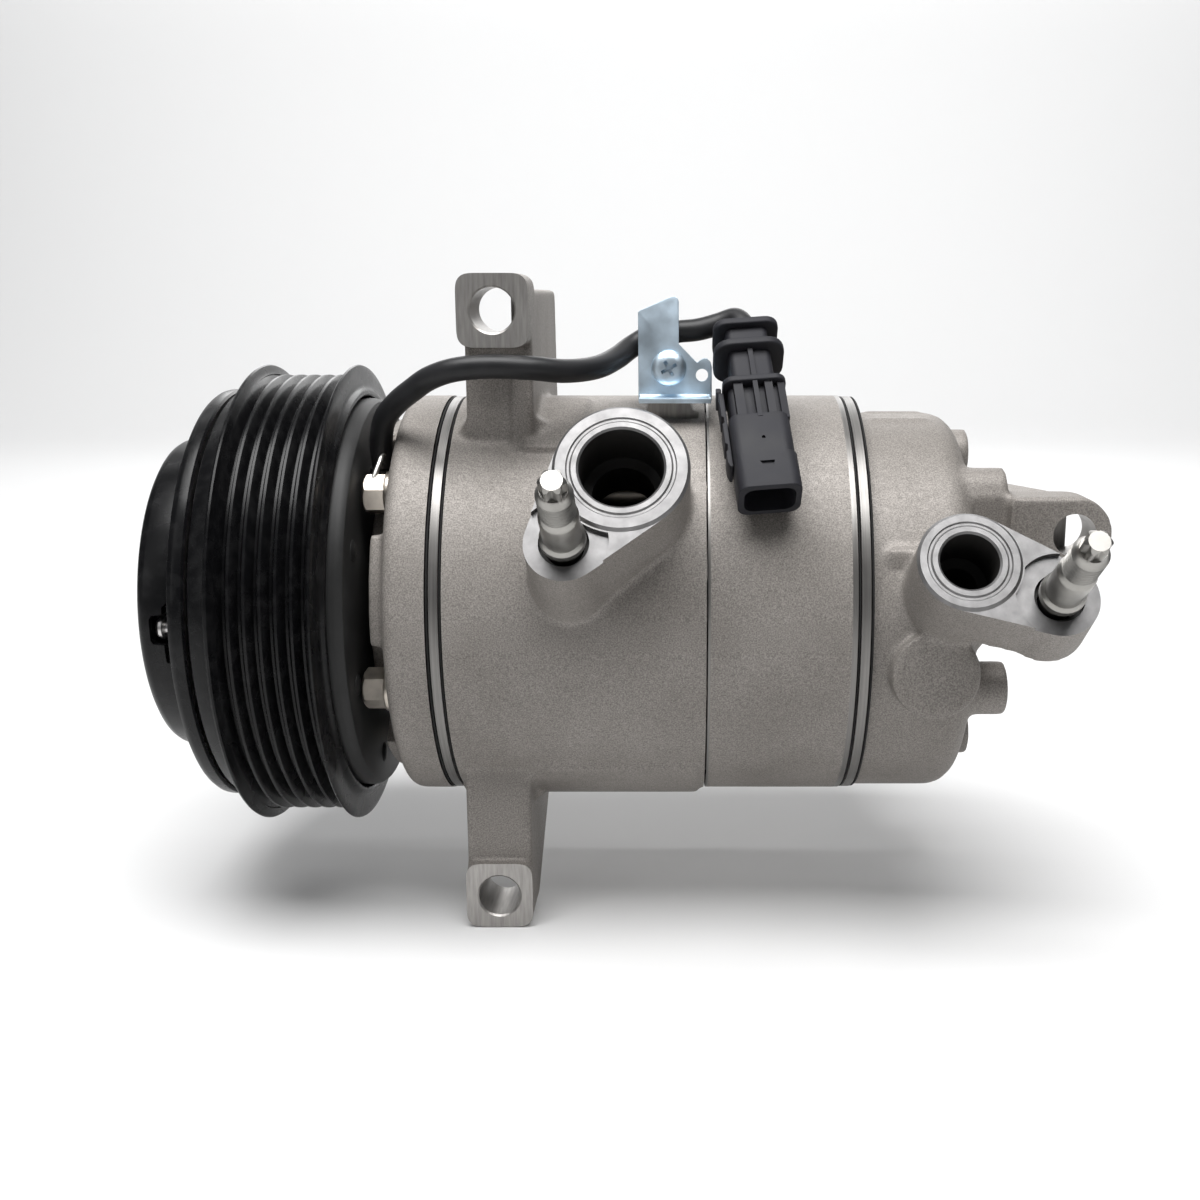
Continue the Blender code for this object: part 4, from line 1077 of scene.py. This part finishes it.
def bracket_screw():
    """A pan-head screw with a cross recess."""
    head = 10.3
    profile = [
        (0.0, 0.0), (0.0, 2.0), (head, 2.0), (head, 4.1), (head + 0.2, 4.25), (head + 1.2, 4.25),
        (head + 1.9, 3.9),
        (head + 2.5, 3.1), (head + 2.8, 2.1), (head + 2.9, 1.0), (head + 2.9, 0.0),
    ]
    helper = helper_object(turned(profile, MIDDLE))
    for turn in (0.5, 0.5 + math.pi / 2):
        wing = prism(
            [(head + 3.2, -2.3), (head + 3.2, 2.3), (head + 1.2, 1.1), (head + 1.2, -1.1)], -0.42, 0.42
        )
        wing.transform(Matrix.Rotation(turn, 4, "X"))
        combine(helper, [wing], 0)
    placed = Vector((1, 0, 0)).rotation_difference(Vector((0, -1, 0))).to_matrix().to_4x4()
    helper.data.transform(Matrix.Translation(Vector((125.8, -8.0, 58.9)) * MM) @ placed)
    coat(helper, ZINC)
    finish_piece(helper, "visual_bracket_screw", "casing", ["bracket_screw"])


for number, angle in enumerate(BOLT_ANGLES, 1):
    through_bolt(number, angle)
port_stud("suction_port_stud", SUCTION)
port_stud("discharge_port_stud", DISCHARGE)
relief_valve()
bracket()
bracket_screw()

# ---------------------------------------------------------------- connector and lead

CONNECTOR_TOP = Vector((144.0, -16.5, 66.7))
CONNECTOR_MOUTH = Vector((148.5, -50.6, 31.5))
LEAD_RADIUS = 2.75
LEAD_ROUTE = [
    (56.2, -20.1, 36.0), (56.4, -22.5, 41.2), (58.3, -26.3, 47.2), (62.0, -29.8, 51.3), (66.5, -33.3, 54.6),
    (71.4, -37.0, 57.6), (77.6, -39.5, 59.6), (85.6, -40.0, 60.3), (94.4, -38.5, 59.9), (102.0, -34.0, 59.0),
    (108.6, -26.0, 59.4), (113.0, -18.6, 61.2), (117.0, -13.0, 64.0), (122.0, -11.6, 66.6),
    (128.0, -11.6, 67.4),
    (133.0, -11.2, 67.9), (138.0, -10.4, 69.2), (141.8, -11.4, 70.4), (143.6, -14.0, 69.2),
]


def connector():
    along = (CONNECTOR_MOUTH - CONNECTOR_TOP).normalized()
    across = (Vector((1, 0, 0)) - along * along.x).normalized()
    place = axes(across, along.cross(across), along, CONNECTOR_TOP)
    length = (CONNECTOR_MOUTH - CONNECTOR_TOP).length
    shapes = [
        (rounded(-5.0, 5.0, -4.6, 4.6, 1.6), 0.4, 18.4, 0.0),
        (rounded(-7.8, 7.8, -6.4, 6.4, 3.2), 0.0, 1.9, 0.4),
        (rounded(-8.4, 8.4, -7.0, 7.0, 4.4), 6.9, 8.9, 0.4),
        (rounded(-7.4, 7.4, -5.8, 5.8, 2.6), 17.4, 19.0, 0.3),
        (rounded(-6.3, 6.3, -5.4, 3.5, 1.5), 18.6, 29.5, 0.0),
        ([(-0.6, 0.0), (0.6, 0.0), (0.55, 5.5), (-0.55, 5.5)], 8.4, 29.5, 0.0),
        ([(-5.4, 0.0), (-2.7, 0.0), (-2.9, 5.0), (-5.0, 5.0)], 18.6, 29.5, 0.0),
        ([(1.9, 0.0), (4.2, 0.0), (4.0, 5.0), (2.2, 5.0)], 18.6, 29.5, 0.0),
        ([(5.2, -4.0), (6.9, -4.0), (6.9, 4.2), (5.2, 4.6)], 18.6, 29.5, 0.0),
        (rounded(-7.15, 6.8, -5.4, 5.4, 2.6), 28.5, 40.5, 0.25),
        (rounded(-7.15, 7.15, -5.4, 5.4, 2.6), 39.4, length, 0.25),
    ]
    helper = None
    for outline, start, end, edge in shapes:
        solid = prism(outline, start, end, place)
        if edge:
            softened(solid, edge, 3, 60.0)
        if helper is None:
            helper = helper_object(solid)
        else:
            combine(helper, [solid], 0, "UNION")
    cuts = [prism(rounded(-5.8, 5.8, -4.0, 4.0, 2.4), length - 13.0, length + 1.0, place)]
    arrow = [(-1.7, 42.2), (1.7, 42.2), (1.3, 43.6), (0.2, 46.0), (-0.7, 43.9)]
    upright = place @ Matrix(((1, 0, 0, 0), (0, 0, 1, 0), (0, 1, 0, 0), (0, 0, 0, 1)))
    cuts.append(prism(arrow, 4.8, 7.0, upright))
    dot = [(0.45 * math.cos(k), 35.6 + 0.45 * math.sin(k)) for k in np.arange(0.0, 2 * math.pi, math.pi / 6)]
    cuts.append(prism(dot, 4.8, 7.0, upright))
    combine(helper, cuts, 0)
    coat(helper, PLASTIC)
    finish_piece(helper, "visual_connector_housing", "casing", ["connector_housing"])
    ladder = [
        (-8.5, 19.6), (-7.3, 19.6), (-7.3, 41.0), (-8.0, 41.0), (-8.5, 39.5), (-8.5, 36.6),
        (-8.0, 36.2), (-8.0, 34.6),
        (-8.5, 34.2), (-8.5, 28.6), (-8.0, 28.2), (-8.0, 26.8), (-8.5, 26.4),
    ]
    rail = softened(prism(ladder, -3.6, 2.4, upright), 0.2, 2, 60.0)
    make("connector_rail", rail, PLASTIC)
    for number, middle in enumerate((-2.5, 2.5), 1):
        name = f"connector_terminal_{number}"
        blade = softened(
            prism(rounded(middle - 1.2, middle + 1.2, -0.4, 0.4, 0.2, 2), length - 12.7, length - 4.0, place),
            0.15, 2
        )
        make(f"visual_{name}", blade, TIN, "casing", [name])
    clip = prism(rounded(-30.5, -25.5, 49.5, 54.5, 1.0, 4), 136.9, 138.1, side_view())
    make(
        "visual_connector_clip", softened(clip, 0.2, 2), PLASTIC, "casing",
        ["connector_clip"]
    )


def smooth_route(points, per_span):
    """Points on a smooth curve through the route's own points."""
    ends = [points[0] * 2 - points[1]] + points + [points[-1] * 2 - points[-2]]
    route = []
    for before, start, end, after in zip(ends, ends[1:], ends[2:], ends[3:]):
        for step in range(per_span):
            t = step / per_span
            route.append(0.5 * (
                2 * start + (end - before) * t + (2 * before - 5 * start + 4 * end - after) * t ** 2
                + (3 * start - before - 3 * end + after) * t ** 3
            ))
    return route + [points[-1]]


def tube(route, radii, sides):
    """A closed tube along a route, with a radius at each of its points."""
    bm = bmesh.new()
    last = len(route) - 1
    tangents = [(route[min(i + 1, last)] - route[max(i - 1, 0)]).normalized() for i in range(len(route))]
    side = tangents[0].orthogonal().normalized()
    rings = []
    for place, tangent, radius in zip(route, tangents, radii):
        side = (side - tangent * side.dot(tangent)).normalized()
        up = tangent.cross(side)
        turns = [2 * math.pi * k / sides for k in range(sides)]
        rings.append([
            bm.verts.new((place + (side * math.cos(turn) + up * math.sin(turn)) * radius) * MM)
            for turn in turns
        ])
    for first, second in zip(rings, rings[1:]):
        for k in range(sides):
            bm.faces.new((first[k], first[(k + 1) % sides], second[(k + 1) % sides], second[k]))
    bm.faces.new(rings[0])
    bm.faces.new(rings[-1])
    return outward(bm)


def lead():
    along = (CONNECTOR_MOUTH - CONNECTOR_TOP).normalized()
    points = [Vector(p) for p in LEAD_ROUTE] + [CONNECTOR_TOP - along * 0.3]
    route = smooth_route(points, 8)
    make(
        "visual_coil_lead", tube(route, [LEAD_RADIUS] * len(route), SMALL), SLEEVE,
        "casing", ["coil_lead"]
    )
    start = points[0]
    radial = Vector((0, start.y, start.z)).normalized()
    grommet = [
        (0.0, 0.0), (0.0, 3.9), (1.2, 3.9), (1.4, 3.4), (1.9, 3.4), (2.1, 3.9), (3.4, 3.9), (4.4, 3.6),
        (5.6, 3.1),
        (6.4, 3.0), (6.4, 0.0),
    ]
    boot = pointing(turned(grommet, MIDDLE), start - radial * 6.7, radial)
    make("visual_lead_grommet", boot, RUBBER, "casing", ["lead_grommet"])
    strap_route = smooth_route([
        Vector(p)
        for p in (
            (54.6, -28.6, 30.6), (55.6, -27.2, 34.0), (56.8, -24.6, 37.8), (57.6, -20.6, 40.6),
            (58.0, -16.2, 42.2),
        )
    ], 6)
    make("lead_strap", tube(strap_route, [0.7] * len(strap_route), TINY), TIN)


connector()
lead()

# ---------------------------------------------------------------- pump inside the casing


def shoe(number, angle, side):
    """A half-round shoe lying on one face of the swash plate."""
    dome = [(0.0, 0.0), (0.0, 5.2), (0.3, 5.5), (0.9, 5.4), (1.9, 4.4), (2.8, 2.6), (3.3, 0.0)]
    normal = Matrix.Rotation(SWASH_TILT, 3, "Z") @ Vector((side, 0, 0))
    middle = around(CYLINDER_PITCH, angle, 0.0)
    lean = -(normal.y * middle.y + normal.z * middle.z) / normal.x
    start = Vector((SWASH_X + lean, middle.y, middle.z)) + normal * 3.6
    name = f"piston_shoe_{number}_{'rear' if side > 0 else 'front'}"
    make(name, pointing(turned(dome, MIDDLE), start, normal), IRON, "shaft")


for number, angle in enumerate(CYLINDER_ANGLES, 1):
    shoe(number, angle, 1)
    shoe(number, angle, -1)

CARRIED_OVER = {
    "body_o_ring": RUBBER, "shaft_seal": RUBBER, "field_coil_winding": COPPER, "drive_shaft": STEEL,
    "swash_plate": IRON, "coil_snap_ring": STEEL, "pulley_snap_ring": STEEL, "seal_retaining_ring": STEEL,
    "pulley_bearing_inner_ring": STEEL, "pulley_bearing_outer_ring": STEEL, "pulley_bearing_ball_cage": STEEL,
    "front_needle_bearing": STEEL, "rear_needle_bearing": STEEL, "front_thrust_bearing": STEEL,
    "rear_thrust_bearing": STEEL,
}
for number in range(1, 6):
    CARRIED_OVER[f"piston_{number}"] = MILLED
for name, material in CARRIED_OVER.items():
    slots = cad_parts[name].material_slots
    for material_slot in slots:
        material_slot.material = material
